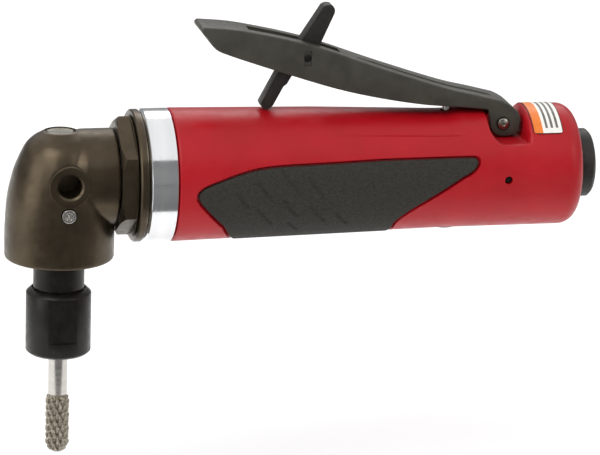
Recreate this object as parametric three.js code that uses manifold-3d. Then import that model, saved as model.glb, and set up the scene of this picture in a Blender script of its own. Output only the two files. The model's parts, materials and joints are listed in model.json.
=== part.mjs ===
// Right-angle air die grinder, in millimetres, +Z up.
// The motor turns about the X axis and the spindle about the Z axis. The two axes cross at
// (0, 0, 0) while the tool is built, and the last lines move the tool so that the middle of its
// box is the origin. The collet points down and the air inlet faces +X.

import * as THREE from 'three';
import { mergeVertices } from 'three/addons/utils/BufferGeometryUtils.js';
import Module from 'manifold-3d';

const wasm = await Module();
wasm.setup();

// ---- Driving dimensions ------------------------------------------------------------------

const GAP = 0.3; // clearance between pieces that touch on the real tool

// Facets round a circle: outer walls, pieces that turn and their bores, and sealed rings.
const WALL = 32;
const RUNNING = 20;
const SEALED = 12;
const HEX_WALL = 36; // round the lock nut, a multiple of six so that facets meet the hexagon's corners

const HEAD = {
  radius: 18.2, // upright barrel round the spindle
  neckRadius: 16, // level barrel towards the motor
  bottom: -27,
  top: 15.5,
  shoulder: 17.8, // where the level barrel meets the lock nut
  spigotRadius: 15,
  spigotEnd: 32.5,
};

const LOCK_NUT = { start: 18.1, hexEnd: 22.9, rimStart: 23.5, end: 26.2, corner: 20.3, groove: 17.4, rim: 22 };

const GEARS = {
  coneLength: 12.8, // from the crossing of the axes to the outer ends of the teeth
  face: 4.4,
  pinionTeeth: 12,
  wheelTeeth: 15,
  addendum: 1.0,
  dedendum: 1.3,
  pressureSlope: Math.tan(THREE.MathUtils.degToRad(20)),
  toothShare: 0.42, // tooth thickness over circular pitch, the rest is space and backlash
};

const SPINDLE = { neckRadius: 8.5, neckTop: -24.6, neckEnd: -38, threadRadius: 8.1, threadEnd: -50 };
const NUT = { radius: 10.85, top: -37.7, bottom: -60, flat: 9.8, flatTop: -39.3, flatBottom: -54.8 };
const BURR = { shankRadius: 3.175, headRadius: 3.97, top: -42, neckRadius: 2.9, headTop: -75.6, tip: -95.3 };

const MOTOR = {
  collarRadius: 22.2, // the bare aluminium band in front of the grip
  collarStart: 26.5,
  collarEnd: 36,
  barrelRadius: 18.2,
  bore: 16.5,
  shoulder: 33,
  end: 100.5,
  stackRadius: 16.2,
  frontPlate: [35.1, 42],
  liner: [42.3, 88],
  linerBore: 13.2,
  linerOffset: 1.6, // how far the liner's bore is above the rotor's axis
  rotorRadius: 11.4,
  shaftRadius: 4,
  vanes: 5,
};

const HOUSING = {
  start: 36.3,
  bore: 18.5,
  boreEnd: 101.9,
  rearBore: 11.8,
  rearBoreStart: 158.4,
  inletBore: 8,
  inletBoreStart: 138.7,
  passageRadius: 5,
  end: 175.4,
  cornerStart: 169,
  cornerRadius: 5.5,
};

const VALVE = { x: 130.5, bore: 5.5, top: 15.3, stemRadius: 1.5, stemTop: 25.7, plugTop: -15.4 };
const INLET = { radius: 7.7, start: 140.6, end: 180, thread: 5.7, threadStart: 165, throat: 4.5 };
const CAP = { radius: 11.5, start: 172.2, end: 180.5, bore: 8.1 };

const LEVER = {
  halfWidth: 7.2,
  channelHalf: 5.6,
  plate: 1.9,
  pin: [148.4, 16.1],
  pinRadius: 1.65,
  earRadius: 4.4,
  slotHalf: 2.85,
  slot: [61.7, 93],
};

const LOCK = { pivot: [81, 40], pinRadius: 1.2, halfWidth: 2.5, hub: 3.9 };

// ---- Finishes ----------------------------------------------------------------------------

const FINISHES = {
  bronzeAnodised: { color: 0x463f39, roughness: 0.5, metalness: 0.3 },
  redComposite: { color: 0xa8242c, roughness: 0.45, metalness: 0 },
  blackComposite: { color: 0x3c3a34, roughness: 0.6, metalness: 0 },
  blackOxide: { color: 0x24221f, roughness: 0.45, metalness: 0.6 },
  gripRubber: { color: 0x3a3834, roughness: 0.85, metalness: 0 },
  sealRubber: { color: 0x181818, roughness: 0.8, metalness: 0 },
  aluminium: { color: 0xc9cacb, roughness: 0.3, metalness: 1 },
  steel: { color: 0x9a9a98, roughness: 0.3, metalness: 1 },
  bearingSteel: { color: 0xb4b6b8, roughness: 0.2, metalness: 1 },
  castIron: { color: 0x55565a, roughness: 0.6, metalness: 0.7 },
  brass: { color: 0xb08d45, roughness: 0.35, metalness: 1 },
  carbide: { color: 0x7d7568, roughness: 0.5, metalness: 0.8 },
  felt: { color: 0xc8bfa8, roughness: 0.95, metalness: 0 },
  phenolic: { color: 0x6b4a2c, roughness: 0.7, metalness: 0 },
  labelFilm: { color: 0xe8e6e0, roughness: 0.5, metalness: 0 },
};

// ---- Solids from three.js geometry -------------------------------------------------------

// Makes a solid from a closed geometry, whichever way its faces were wound.
function solidOf(geometry) {
  const bare = geometry.clone();
  bare.deleteAttribute('normal');
  bare.deleteAttribute('uv');
  const merged = mergeVertices(bare, 1e-4);
  const positions = merged.getAttribute('position');
  const index = merged.getIndex().array;
  const triangles = [];
  for (let i = 0; i < index.length; i += 3) {
    const [a, b, c] = [index[i], index[i + 1], index[i + 2]];
    if (a !== b && b !== c && c !== a) triangles.push([a, b, c]);
  }
  const corner = (i) => new THREE.Vector3().fromBufferAttribute(positions, i);
  const volumeOf = ([a, b, c]) => corner(a).dot(corner(b).cross(corner(c)));
  const volume = triangles.reduce((sum, triangle) => sum + volumeOf(triangle), 0);
  if (volume < 0) triangles.forEach((triangle) => triangle.reverse());
  const mesh = new wasm.Mesh({
    numProp: 3,
    vertProperties: new Float32Array(positions.array),
    triVerts: new Uint32Array(triangles.flat()),
  });
  return new wasm.Manifold(mesh);
}

// The geometry of a solid, ready for a mesh.
function geometryOf(solid) {
  const result = solid.getMesh();
  const geometry = new THREE.BufferGeometry();
  geometry.setAttribute('position', new THREE.BufferAttribute(result.vertProperties, 3));
  geometry.setIndex(new THREE.BufferAttribute(result.triVerts, 1));
  return geometry;
}

const cutAll = (solid, cutters) => cutters.reduce((rest, cutter) => rest.subtract(cutter), solid);
const joinAll = (solids) => solids.reduce((whole, solid) => whole.add(solid));

// Turns a geometry that stands along Y so that it lies along the named axis.
function facing(geometry, axis) {
  if (axis === 'x') geometry.rotateZ(-Math.PI / 2);
  if (axis === 'z') geometry.rotateX(Math.PI / 2);
  return geometry;
}

// A solid turned about an axis from [place along the axis, radius] pairs.
function turned(axis, profile, segments = RUNNING) {
  const points = profile.map(([place, radius]) => new THREE.Vector2(radius, place));
  if (points[0].x > 0) points.push(points[0].clone());
  return solidOf(facing(new THREE.LatheGeometry(points, segments), axis));
}

const ring = (axis, from, to, outer, inner, segments) =>
  turned(axis, [[from, inner], [from, outer], [to, outer], [to, inner]], segments);

const rod = (axis, from, to, radius, segments) =>
  turned(axis, [[from, 0], [from, radius], [to, radius], [to, 0]], segments);

// A rod along the named axis that is off centre by the given vector.
function rodAt(axis, from, to, radius, offset, segments = SEALED) {
  const geometry = new THREE.CylinderGeometry(radius, radius, to - from, segments);
  geometry.translate(0, (from + to) / 2, 0);
  return solidOf(facing(geometry, axis).translate(...offset));
}

function block(low, high) {
  const size = high.map((value, i) => value - low[i]);
  const middle = high.map((value, i) => (value + low[i]) / 2);
  return solidOf(new THREE.BoxGeometry(...size).translate(...middle));
}

// An outline drawn in X and Z, extruded along Y.
function alongY(shape, from, to, options = {}) {
  const settings = { depth: to - from, bevelEnabled: false, curveSegments: 6, ...options };
  const geometry = new THREE.ExtrudeGeometry(shape, settings);
  return solidOf(geometry.translate(0, 0, -to).rotateX(Math.PI / 2));
}

// An outline drawn in Y and Z, extruded along X.
function alongX(shape, from, to, options = {}) {
  const geometry = new THREE.ExtrudeGeometry(shape, { depth: to - from, bevelEnabled: false, ...options });
  const turn = new THREE.Matrix4().makeBasis(
    new THREE.Vector3(0, 1, 0),
    new THREE.Vector3(0, 0, 1),
    new THREE.Vector3(1, 0, 0),
  );
  return solidOf(geometry.applyMatrix4(turn).translate(from, 0, 0));
}

// A six-sided prism with corners on the first cross axis.
function hexPrism(axis, from, to, corner) {
  const geometry = new THREE.CylinderGeometry(corner, corner, to - from, 6);
  return solidOf(facing(geometry.translate(0, (from + to) / 2, 0), axis));
}

const vectors = (pairs) => pairs.map(([x, y]) => new THREE.Vector2(x, y));

// Moves every corner of a closed outline outwards by the given distance.
function grown(points, distance) {
  const area = THREE.ShapeUtils.area(points);
  const side = Math.sign(area);
  const normal = (a, b) => new THREE.Vector2(b.y - a.y, a.x - b.x).normalize().multiplyScalar(side);
  return points.map((point, i) => {
    const before = points[(i + points.length - 1) % points.length];
    const after = points[(i + 1) % points.length];
    const n1 = normal(before, point);
    const n2 = normal(point, after);
    return point.clone().addScaledVector(n1.clone().add(n2), distance / (1 + n1.dot(n2)));
  });
}

// A round wire of the given radius wound on a cylinder whose axis is local Z.
function coil(coilRadius, wireRadius, length, turns) {
  const curve = new THREE.Curve();
  curve.getPoint = (t) => {
    const angle = t * turns * 2 * Math.PI;
    return new THREE.Vector3(coilRadius * Math.cos(angle), coilRadius * Math.sin(angle), t * length);
  };
  const section = new THREE.Shape().absarc(0, 0, wireRadius, 0, 2 * Math.PI);
  return new THREE.ExtrudeGeometry(section, { extrudePath: curve, steps: turns * 8, curveSegments: 2 });
}

// ---- The assembly ------------------------------------------------------------------------

const tool = new THREE.Group();
const assembly = new THREE.Group();
tool.add(assembly);

function piece(name, solid, finish) {
  const geometry = geometryOf(solid);
  geometry.computeVertexNormals();
  const mesh = new THREE.Mesh(geometry, new THREE.MeshStandardMaterial(finish));
  mesh.name = name;
  assembly.add(mesh);
  return mesh;
}

// ---- Angle head --------------------------------------------------------------------------

function headHousing() {
  const crown = new THREE.SplineCurve(vectors([[-16, 18.2], [-4, 17.2], [4, 15.2], [10, 12.4], [13.7, 9.6]]));
  const barrel = turned('z', [
    [HEAD.bottom, 0],
    [HEAD.bottom, HEAD.radius - 1.2],
    [HEAD.bottom + 1.2, HEAD.radius],
    ...crown.getPoints(6).map((point) => [point.x, point.y]),
    [15, 7],
    [HEAD.top, 5.5],
    [HEAD.top, 0],
  ], WALL);
  const neck = rod('x', 0, HEAD.shoulder, HEAD.neckRadius, WALL);
  const spigot = rod('x', HEAD.shoulder - 1, HEAD.spigotEnd, HEAD.spigotRadius, WALL);
  const nutSeat = block([HEAD.shoulder, -20, HEAD.bottom - 1], [20, 20, HEAD.top]);
  const handleFace = 16.8; // distance of the side handle's boss from the spindle axis
  const handleHole = [0.9, 0, 1];
  const bossRadius = 6.9;
  const handleBoss = rodAt('y', -handleFace, -12, bossRadius, handleHole);
  return cutAll(joinAll([barrel.subtract(nutSeat), neck, spigot, handleBoss]), [
    rod('z', HEAD.bottom - 1, -14.6, 13.6), // lower bearing and its retainer
    rod('z', -14.7, -4, 12.3), // bevel wheel
    rod('z', -4.1, HEAD.top + 1, 5.3), // spindle end, upper bearing and plug
    rod('x', 5.8, 14.7, 10), // pinion
    rod('x', 14.6, HEAD.spigotEnd + 1, 11.5), // pinion bearings
    rodAt('y', -20, -handleFace, bossRadius, handleHole), // flat face of the boss
    rodAt('y', -20, -7, 3.95, handleHole), // its threaded hole
    rodAt('y', -20, -10, 2.6, [0.4, 0, -8.5]), // grease fitting
  ]);
}

function lockNut() {
  const blank = turned('x', [
    [LOCK_NUT.start, HEAD.spigotRadius + GAP],
    [LOCK_NUT.start, LOCK_NUT.corner - 1.6],
    [LOCK_NUT.start + 0.9, LOCK_NUT.corner],
    [LOCK_NUT.hexEnd, LOCK_NUT.corner],
    [LOCK_NUT.hexEnd, LOCK_NUT.groove],
    [LOCK_NUT.rimStart, LOCK_NUT.groove],
    [LOCK_NUT.rimStart, LOCK_NUT.rim - 0.4],
    [LOCK_NUT.rimStart + 0.4, LOCK_NUT.rim],
    [LOCK_NUT.end, LOCK_NUT.rim],
    [LOCK_NUT.end, HEAD.spigotRadius + GAP],
  ], HEX_WALL);
  const hexagon = hexPrism('x', LOCK_NUT.start - 1, LOCK_NUT.hexEnd + 0.3, LOCK_NUT.corner);
  const rim = rod('x', LOCK_NUT.hexEnd + 0.1, LOCK_NUT.end + 1, LOCK_NUT.rim + 1, HEX_WALL);
  return blank.intersect(hexagon.add(rim));
}

// A closed ball bearing: a ring with the seal groove in the face that is nearer the end.
function bearing(axis, from, to, outer, inner) {
  const third = (outer - inner) / 3;
  const sealDepth = Math.sign(to - from) * 0.5;
  return turned(axis, [
    [from, inner],
    [from, inner + third],
    [from + sealDepth, inner + third],
    [from + sealDepth, outer - third],
    [from, outer - third],
    [from, outer],
    [to, outer],
    [to, inner],
  ], SEALED);
}

function greaseFitting() {
  const body = rodAt('y', -18.1, -13.6, 2.3, [0.4, 0, -8.5], 16);
  return body.subtract(rodAt('y', -18.3, -17.5, 1.3, [0.4, 0, -8.5], 16));
}

// ---- Bevel gears -------------------------------------------------------------------------

// Points on a cone through the crossing of the axes, as [place along the axis, radius].
const conePoint = (length, angle) => [length * Math.cos(angle), length * Math.sin(angle)];

// One tooth of a bevel gear whose axis is local Y and whose cone opens towards +Y.
function bevelTooth(teeth, pitchAngle) {
  const pitch = 2 * Math.PI * GEARS.coneLength * Math.sin(pitchAngle) / teeth;
  const half = pitch * GEARS.toothShare / 2;
  const rootHalf = half + GEARS.dedendum * GEARS.pressureSlope;
  const tipHalf = half - GEARS.addendum * GEARS.pressureSlope;
  const rootDepth = GEARS.dedendum + 0.5;
  const outline = [[-rootHalf, -rootDepth], [rootHalf, -rootDepth], [tipHalf, GEARS.addendum],
    [-tipHalf, GEARS.addendum]];
  const shape = new THREE.Shape(vectors(outline));
  const geometry = new THREE.ExtrudeGeometry(shape, { depth: GEARS.face, bevelEnabled: false });
  const positions = geometry.getAttribute('position');
  for (let i = 0; i < positions.count; i += 1) {
    const scale = 1 - positions.getZ(i) / GEARS.coneLength;
    positions.setXY(i, positions.getX(i) * scale, positions.getY(i) * scale);
  }
  const sine = Math.sin(pitchAngle);
  const cosine = Math.cos(pitchAngle);
  const place = new THREE.Matrix4().makeBasis(
    new THREE.Vector3(0, 0, -1),
    new THREE.Vector3(cosine, -sine, 0),
    new THREE.Vector3(-sine, -cosine, 0),
  );
  place.setPosition(sine * GEARS.coneLength, cosine * GEARS.coneLength, 0);
  return geometry.applyMatrix4(place);
}

// The root cone as two profile points, from the inner end of the teeth to the outer end.
function rootCone(pitchAngle) {
  const rootAngle = pitchAngle - Math.atan(GEARS.dedendum / GEARS.coneLength);
  return [
    conePoint(GEARS.coneLength - GEARS.face, rootAngle),
    conePoint(GEARS.coneLength, rootAngle),
  ];
}

// Adds teeth round a gear body. The phase is in tooth pitches, and place puts local Y on its axis.
function toothed(body, teeth, pitchAngle, phase, place) {
  const tooth = bevelTooth(teeth, pitchAngle);
  const teethSolids = [];
  for (let i = 0; i < teeth; i += 1) {
    const copy = tooth.clone().rotateY((i + phase) * 2 * Math.PI / teeth);
    teethSolids.push(solidOf(place(copy)));
  }
  return joinAll([body, ...teethSolids]);
}

const PINION_ANGLE = Math.atan(GEARS.pinionTeeth / GEARS.wheelTeeth);
const WHEEL_ANGLE = Math.PI / 2 - PINION_ANGLE;

function bevelPinion() {
  const [inner, outer] = rootCone(PINION_ANGLE);
  const body = turned('x', [
    [inner[0], 0],
    inner,
    outer,
    [outer[0] + 1.2, 6],
    [14.6, 6],
    [14.6, MOTOR.shaftRadius],
    [33, MOTOR.shaftRadius],
    [33, 0],
  ]);
  const tail = hexPrism('x', 32.5, 40, 2.54);
  const whole = toothed(body, GEARS.pinionTeeth, PINION_ANGLE, 0, (tooth) => facing(tooth, 'x'));
  return whole.add(tail);
}

function bevelWheel() {
  const [inner, outer] = rootCone(WHEEL_ANGLE);
  const body = turned('z', [
    [-inner[0], 4.8],
    [-inner[0], inner[1]],
    [-outer[0], outer[1]],
    [-outer[0] - 1.2, 9.4],
    [-14.2, 9.4],
    [-14.2, 4.8],
  ]);
  return toothed(body, GEARS.wheelTeeth, WHEEL_ANGLE, 0.5, (tooth) => tooth.rotateX(-Math.PI / 2));
}

// ---- Spindle, collet and burr ------------------------------------------------------------

function spindle() {
  const body = turned('z', [
    [12.2, 0],
    [12.2, 2.5],
    [-4.2, 2.5],
    [-4.2, 4.5],
    [-14.5, 4.5],
    [-14.5, 6],
    [SPINDLE.neckTop, 6],
    [SPINDLE.neckTop, SPINDLE.neckRadius],
    [SPINDLE.neckEnd, SPINDLE.neckRadius],
    [SPINDLE.neckEnd, SPINDLE.threadRadius],
    [SPINDLE.threadEnd, SPINDLE.threadRadius],
    [SPINDLE.threadEnd, 0],
  ]);
  const colletSeat = turned('z', [[-38.5, 0], [-38.5, 4.6], [-51, 6], [-51, 0]], 24);
  return body.subtract(colletSeat);
}

// A split sleeve that grips the shank when the nut draws it up into the spindle.
function collet() {
  const sleeve = turned('z', [
    [-39.2, 3.45],
    [-39.2, 4.3],
    [-50.5, 5.5],
    [-56.2, 5.5],
    [-57.6, 4.6],
    [-57.6, 3.45],
  ], SEALED);
  const slit = block([0, -0.4, -60], [7, 0.4, -41]);
  const reliefs = [1, 2, 3].map((quarter) => {
    const cut = new THREE.BoxGeometry(3.2, 0.8, 13).translate(5, 0, -52.5);
    return solidOf(cut.rotateZ(quarter * Math.PI / 2));
  });
  return cutAll(sleeve, [slit, ...reliefs]);
}

function colletNut() {
  const body = turned('z', [
    [NUT.top, SPINDLE.threadRadius + 0.8],
    [NUT.top, NUT.radius - 1.1],
    [NUT.top - 1.1, NUT.radius],
    [NUT.bottom + 1, NUT.radius],
    [NUT.bottom, NUT.radius - 1],
    [NUT.bottom, 4.1],
    [-58.2, 4.1],
    [-56.4, 5.9],
    [-52.6, 5.9],
    [-52.6, SPINDLE.threadRadius + GAP],
    [-38.6, SPINDLE.threadRadius + GAP],
    [-38.6, SPINDLE.threadRadius + 0.8],
  ], WALL);
  const flats = [1, -1].map((side) => {
    const cut = new THREE.BoxGeometry(24, 4, NUT.flatTop - NUT.flatBottom);
    return solidOf(cut.translate(0, side * (NUT.flat + 2), (NUT.flatTop + NUT.flatBottom) / 2));
  });
  return cutAll(body, flats);
}

// A ball-nosed cylindrical burr. The nose is a quarter circle down to the axis.
function burr() {
  const centre = BURR.tip + BURR.headRadius;
  const nose = [0, 18, 36, 54, 72, 90].map((angle) => {
    const radians = THREE.MathUtils.degToRad(angle);
    return [centre - BURR.headRadius * Math.sin(radians), BURR.headRadius * Math.cos(radians)];
  });
  nose[nose.length - 1][1] = 0;
  return turned('z', [
    [BURR.top, 0],
    [BURR.top, BURR.shankRadius - 0.4],
    [BURR.top - 0.4, BURR.shankRadius],
    [BURR.headTop + 1, BURR.shankRadius],
    [BURR.headTop + 0.7, BURR.neckRadius],
    [BURR.headTop + 0.3, BURR.neckRadius],
    [BURR.headTop, BURR.headRadius],
    ...nose,
  ], 24);
}

// ---- Air motor ---------------------------------------------------------------------------

function motorBarrel() {
  return turned('x', [
    [MOTOR.collarStart, HEAD.spigotRadius + GAP],
    [MOTOR.collarStart, MOTOR.collarRadius - 0.7],
    [MOTOR.collarStart + 0.7, MOTOR.collarRadius],
    [MOTOR.collarEnd, MOTOR.collarRadius],
    [MOTOR.collarEnd, MOTOR.barrelRadius],
    [MOTOR.end, MOTOR.barrelRadius],
    [MOTOR.end, MOTOR.bore],
    [MOTOR.shoulder, MOTOR.bore],
    [MOTOR.shoulder, HEAD.spigotRadius + GAP],
  ], WALL);
}

// An end plate of the motor with a pocket for its bearing on the side away from the rotor.
function endPlate(outside, inside, pocketDepth) {
  const pocketEnd = outside + Math.sign(inside - outside) * pocketDepth;
  return turned('x', [
    [outside, 8.2],
    [outside, MOTOR.stackRadius],
    [inside, MOTOR.stackRadius],
    [inside, 4.6],
    [pocketEnd, 4.6],
    [pocketEnd, 8.2],
  ], SEALED);
}

function cylinderLiner() {
  const [from, to] = MOTOR.liner;
  const outside = rod('x', from, to, MOTOR.stackRadius, RUNNING);
  const bore = rodAt('x', from - 1, to + 1, MOTOR.linerBore, [0, 0, MOTOR.linerOffset], 32);
  const exhaustSlots = [54, 65, 76].map((x) => block([x - 1.3, -5, -18], [x + 1.3, 5, -10]));
  return cutAll(outside, [bore, ...exhaustSlots]);
}

const ROTOR_FACES = [42.8, 87.5];

function rotor() {
  const [from, to] = ROTOR_FACES;
  const body = joinAll([
    rod('x', from, to, MOTOR.rotorRadius, 32),
    rod('x', 33.8, from + 1, MOTOR.shaftRadius, 24),
    rod('x', to - 1, 95, MOTOR.shaftRadius, 24),
  ]);
  const vaneSlots = [];
  for (let i = 0; i < MOTOR.vanes; i += 1) {
    const cut = new THREE.BoxGeometry(to - from + 2, 1.9, 8);
    cut.translate((from + to) / 2, 0, 8.9).rotateX(i * 2 * Math.PI / MOTOR.vanes);
    vaneSlots.push(solidOf(cut));
  }
  return cutAll(body, [hexPrism('x', 33, 41, 2.89), ...vaneSlots]);
}

function vane() {
  const [from, to] = ROTOR_FACES;
  return block([from + 0.1, -0.65, 5.2], [to - 0.1, 0.65, 11.3]);
}

// ---- Grip housing ------------------------------------------------------------------------

// Outside of the housing from its front edge to the round rear corner.
function housingProfile() {
  const corner = [0, 30, 60].map((angle) => {
    const radians = THREE.MathUtils.degToRad(angle);
    const centre = [HOUSING.cornerStart, housingRadius(HOUSING.cornerStart) - HOUSING.cornerRadius];
    return [
      centre[0] + HOUSING.cornerRadius * Math.sin(radians),
      centre[1] + HOUSING.cornerRadius * Math.cos(radians),
    ];
  });
  return [
    [HOUSING.start, 21.7],
    [HOUSING.start + 0.5, housingRadius(HOUSING.start + 0.5)],
    [120, housingRadius(120)],
    ...corner,
    [HOUSING.end, CAP.radius + GAP],
  ];
}

// The grip tapers gently towards the rear and then runs straight.
const housingRadius = (x) => Math.max(20.45, 22.2 - 0.019 * (x - HOUSING.start));

function gripOutline() {
  const shape = new THREE.Shape();
  shape.moveTo(52.5, -14.4);
  shape.lineTo(45, -6.4);
  shape.quadraticCurveTo(42.2, -3.4, 42.6, -1.6);
  shape.quadraticCurveTo(43.2, 0.2, 47, 1.6);
  shape.splineThru(vectors([[56.6, 4.8], [66.9, 6.7], [87.9, 7.3], [104.8, 7.8]]));
  shape.lineTo(135.4, 7.8);
  shape.quadraticCurveTo(137.8, 7.6, 137.2, 5.8);
  shape.quadraticCurveTo(136.4, 3.4, 132.2, 1.6);
  shape.lineTo(119, -7);
  shape.quadraticCurveTo(112, -11.6, 110.4, -15);
  shape.lineTo(109.5, -24);
  shape.lineTo(62, -24);
  return shape.getPoints(3).slice(0, -1);
}

// A band of the housing's own taper between two depths, cut to the grip's outline.
function gripBand(outerDepth, innerDepth, grow) {
  const [from, to] = [38, 142];
  const band = turned('x', [
    [from, housingRadius(from) - innerDepth],
    [from, housingRadius(from) - outerDepth],
    [120, housingRadius(120) - outerDepth],
    [to, housingRadius(to) - outerDepth],
    [to, housingRadius(to) - innerDepth],
    [120, housingRadius(120) - innerDepth],
  ], WALL);
  const outline = new THREE.Shape(grown(gripOutline(), grow));
  return band.intersect(alongY(outline, -30, 30));
}

// Where the lever's ears and tail sink into the housing, and the boss that is left between them.
function leverPocket() {
  const floor = 11.2;
  const notch = new THREE.Shape();
  notch.moveTo(155.4, 24);
  notch.lineTo(142.6, 24);
  notch.lineTo(142.6, floor + 4);
  notch.quadraticCurveTo(142.8, floor, 148.4, floor);
  notch.lineTo(154.4, floor);
  notch.lineTo(155.4, floor + 1);
  const bossRadius = 3.9;
  const boss = new THREE.Shape();
  boss.moveTo(142.4, floor - 1);
  boss.lineTo(LEVER.pin[0] + bossRadius, floor - 1);
  boss.lineTo(LEVER.pin[0] + bossRadius, LEVER.pin[1]);
  boss.absarc(LEVER.pin[0], LEVER.pin[1], bossRadius, 0, Math.PI * 0.62);
  boss.lineTo(142.4, 18.8);
  return alongY(notch, -22, 22).subtract(alongY(boss, -5.3, 5.3));
}

function housingShell() {
  const outside = turned('x', [
    [HOUSING.start, 0],
    ...housingProfile(),
    [HOUSING.end, 0],
  ], WALL);
  const deep = 0.75; // depth of the hollow under the lever where it is deepest
  const hollow = turned('x', [
    [85, housingRadius(85)],
    [125, housingRadius(125) - deep],
    [129.8, housingRadius(130) - deep],
    [134.5, housingRadius(134)],
    [134.5, 24],
    [85, 24],
  ], WALL).intersect(block([84, -14.5, 5], [136, 14.5, 30]));
  const exhaustPassages = [-25, -65, -115, -155].map((angle) => {
    const radians = THREE.MathUtils.degToRad(angle);
    const offset = [0, 12.5 * Math.cos(radians), 12.5 * Math.sin(radians)];
    return rodAt('x', 100, 162, 2.3, offset, 8);
  });
  return cutAll(outside, [
    rod('x', HOUSING.start - 1, HOUSING.boreEnd, HOUSING.bore, RUNNING),
    rod('x', HOUSING.boreEnd - 1, VALVE.x, HOUSING.passageRadius + 0.9, SEALED),
    rod('x', VALVE.x, HOUSING.inletBoreStart + 1, HOUSING.passageRadius, SEALED),
    rod('x', HOUSING.inletBoreStart, HOUSING.end + 1, HOUSING.inletBore, RUNNING),
    rod('x', HOUSING.rearBoreStart, HOUSING.end + 1, HOUSING.rearBore, RUNNING),
    rodAt('z', -24, VALVE.top, VALVE.bore, [VALVE.x, 0, 0]),
    rodAt('z', VALVE.top - 1, 24, VALVE.stemRadius + 0.5, [VALVE.x, 0, 0]),
    rodAt('y', -24, -6, 1.4, [147.6, 0, 0]), // pin that holds the inlet bushing
    rodAt('y', -20, 20, LEVER.pinRadius + 0.2, [LEVER.pin[0], 0, LEVER.pin[1]], RUNNING),
    gripBand(-2, 1.5, 0.45),
    hollow,
    leverPocket(),
    ...exhaustPassages,
  ]);
}

// A sticker over the top of the housing.
function rearLabel() {
  const radius = housingRadius(160);
  const half = THREE.MathUtils.degToRad(47);
  const shape = new THREE.Shape();
  shape.absarc(0, 0, radius + 0.4, Math.PI / 2 - half, Math.PI / 2 + half, false);
  shape.absarc(0, 0, radius + 0.12, Math.PI / 2 + half, Math.PI / 2 - half, true);
  return alongX(shape, 157.1, 167.3, { curveSegments: 8 });
}

// ---- Throttle valve ----------------------------------------------------------------------

function valveBushing() {
  const body = turned('z', [
    [15, VALVE.stemRadius + 0.3],
    [15, VALVE.bore - GAP],
    [-15, VALVE.bore - GAP],
    [-15, 4],
    [10, 4],
    [10, 3.2],
    [12.5, 3.2],
    [12.5, VALVE.stemRadius + 0.3],
  ], SEALED);
  const ports = rod('x', -8, 8, 2.8, 16);
  return body.subtract(ports);
}

function throttlePlunger() {
  return turned('z', [
    [VALVE.stemTop, 0],
    [VALVE.stemTop - 0.2, 0.9],
    [VALVE.stemTop - 0.8, VALVE.stemRadius],
    [-1, VALVE.stemRadius],
    [-2.4, 3.6],
    [-4.2, 3.6],
    [-4.2, 0],
  ], SEALED);
}

function valvePlug() {
  const body = turned('z', [[VALVE.plugTop, 0], [VALVE.plugTop, 5.2], [-20.2, 5.2], [-20.2, 0]], SEALED);
  return body.subtract(hexPrism('z', -21, -17.4, 2.9));
}

// ---- Inlet and exhaust -------------------------------------------------------------------

function inletBushing() {
  return turned('x', [
    [INLET.start, INLET.throat],
    [INLET.start, INLET.radius],
    [145.8, INLET.radius],
    [145.8, 6.8],
    [149.4, 6.8],
    [149.4, INLET.radius],
    [INLET.end, INLET.radius],
    [INLET.end, INLET.thread + 0.6],
    [INLET.end - 0.6, INLET.thread],
    [INLET.threadStart, INLET.thread],
    [INLET.threadStart, INLET.throat],
  ]);
}

function inletScreen() {
  const disc = rod('x', INLET.threadStart + 0.3, INLET.threadStart + 1.1, INLET.thread - GAP, 24);
  const holes = [rodAt('x', 160, 170, 0.9, [0, 0, 0], 6)];
  for (let i = 0; i < 6; i += 1) {
    const angle = i * Math.PI / 3;
    holes.push(rodAt('x', 160, 170, 0.9, [0, 3.2 * Math.cos(angle), 3.2 * Math.sin(angle)], 6));
  }
  return cutAll(disc, holes);
}

function exhaustCap() {
  const body = turned('x', [
    [CAP.start, 10],
    [CAP.start, CAP.radius],
    [CAP.end - 1, CAP.radius],
    [CAP.end, CAP.radius - 1],
    [CAP.end, CAP.bore],
    [CAP.end - 2, CAP.bore],
    [CAP.end - 2, 10],
  ], WALL);
  const vents = [];
  for (let i = 0; i < 10; i += 1) {
    const angle = i * Math.PI / 5;
    vents.push(rodAt('x', 178, 183, 0.7, [0, 9.3 * Math.cos(angle), 9.3 * Math.sin(angle)], 6));
  }
  return cutAll(body, vents);
}

// ---- Throttle lever and its lock ---------------------------------------------------------

const LEVER_TOP = vectors([[46.2, 51.2], [56, 50.3], [66, 48.4], [76, 46.1], [86.5, 43.1], [107, 35.8],
  [128, 28.9], [138.4, 26.3], [147.5, 24]]);

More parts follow.
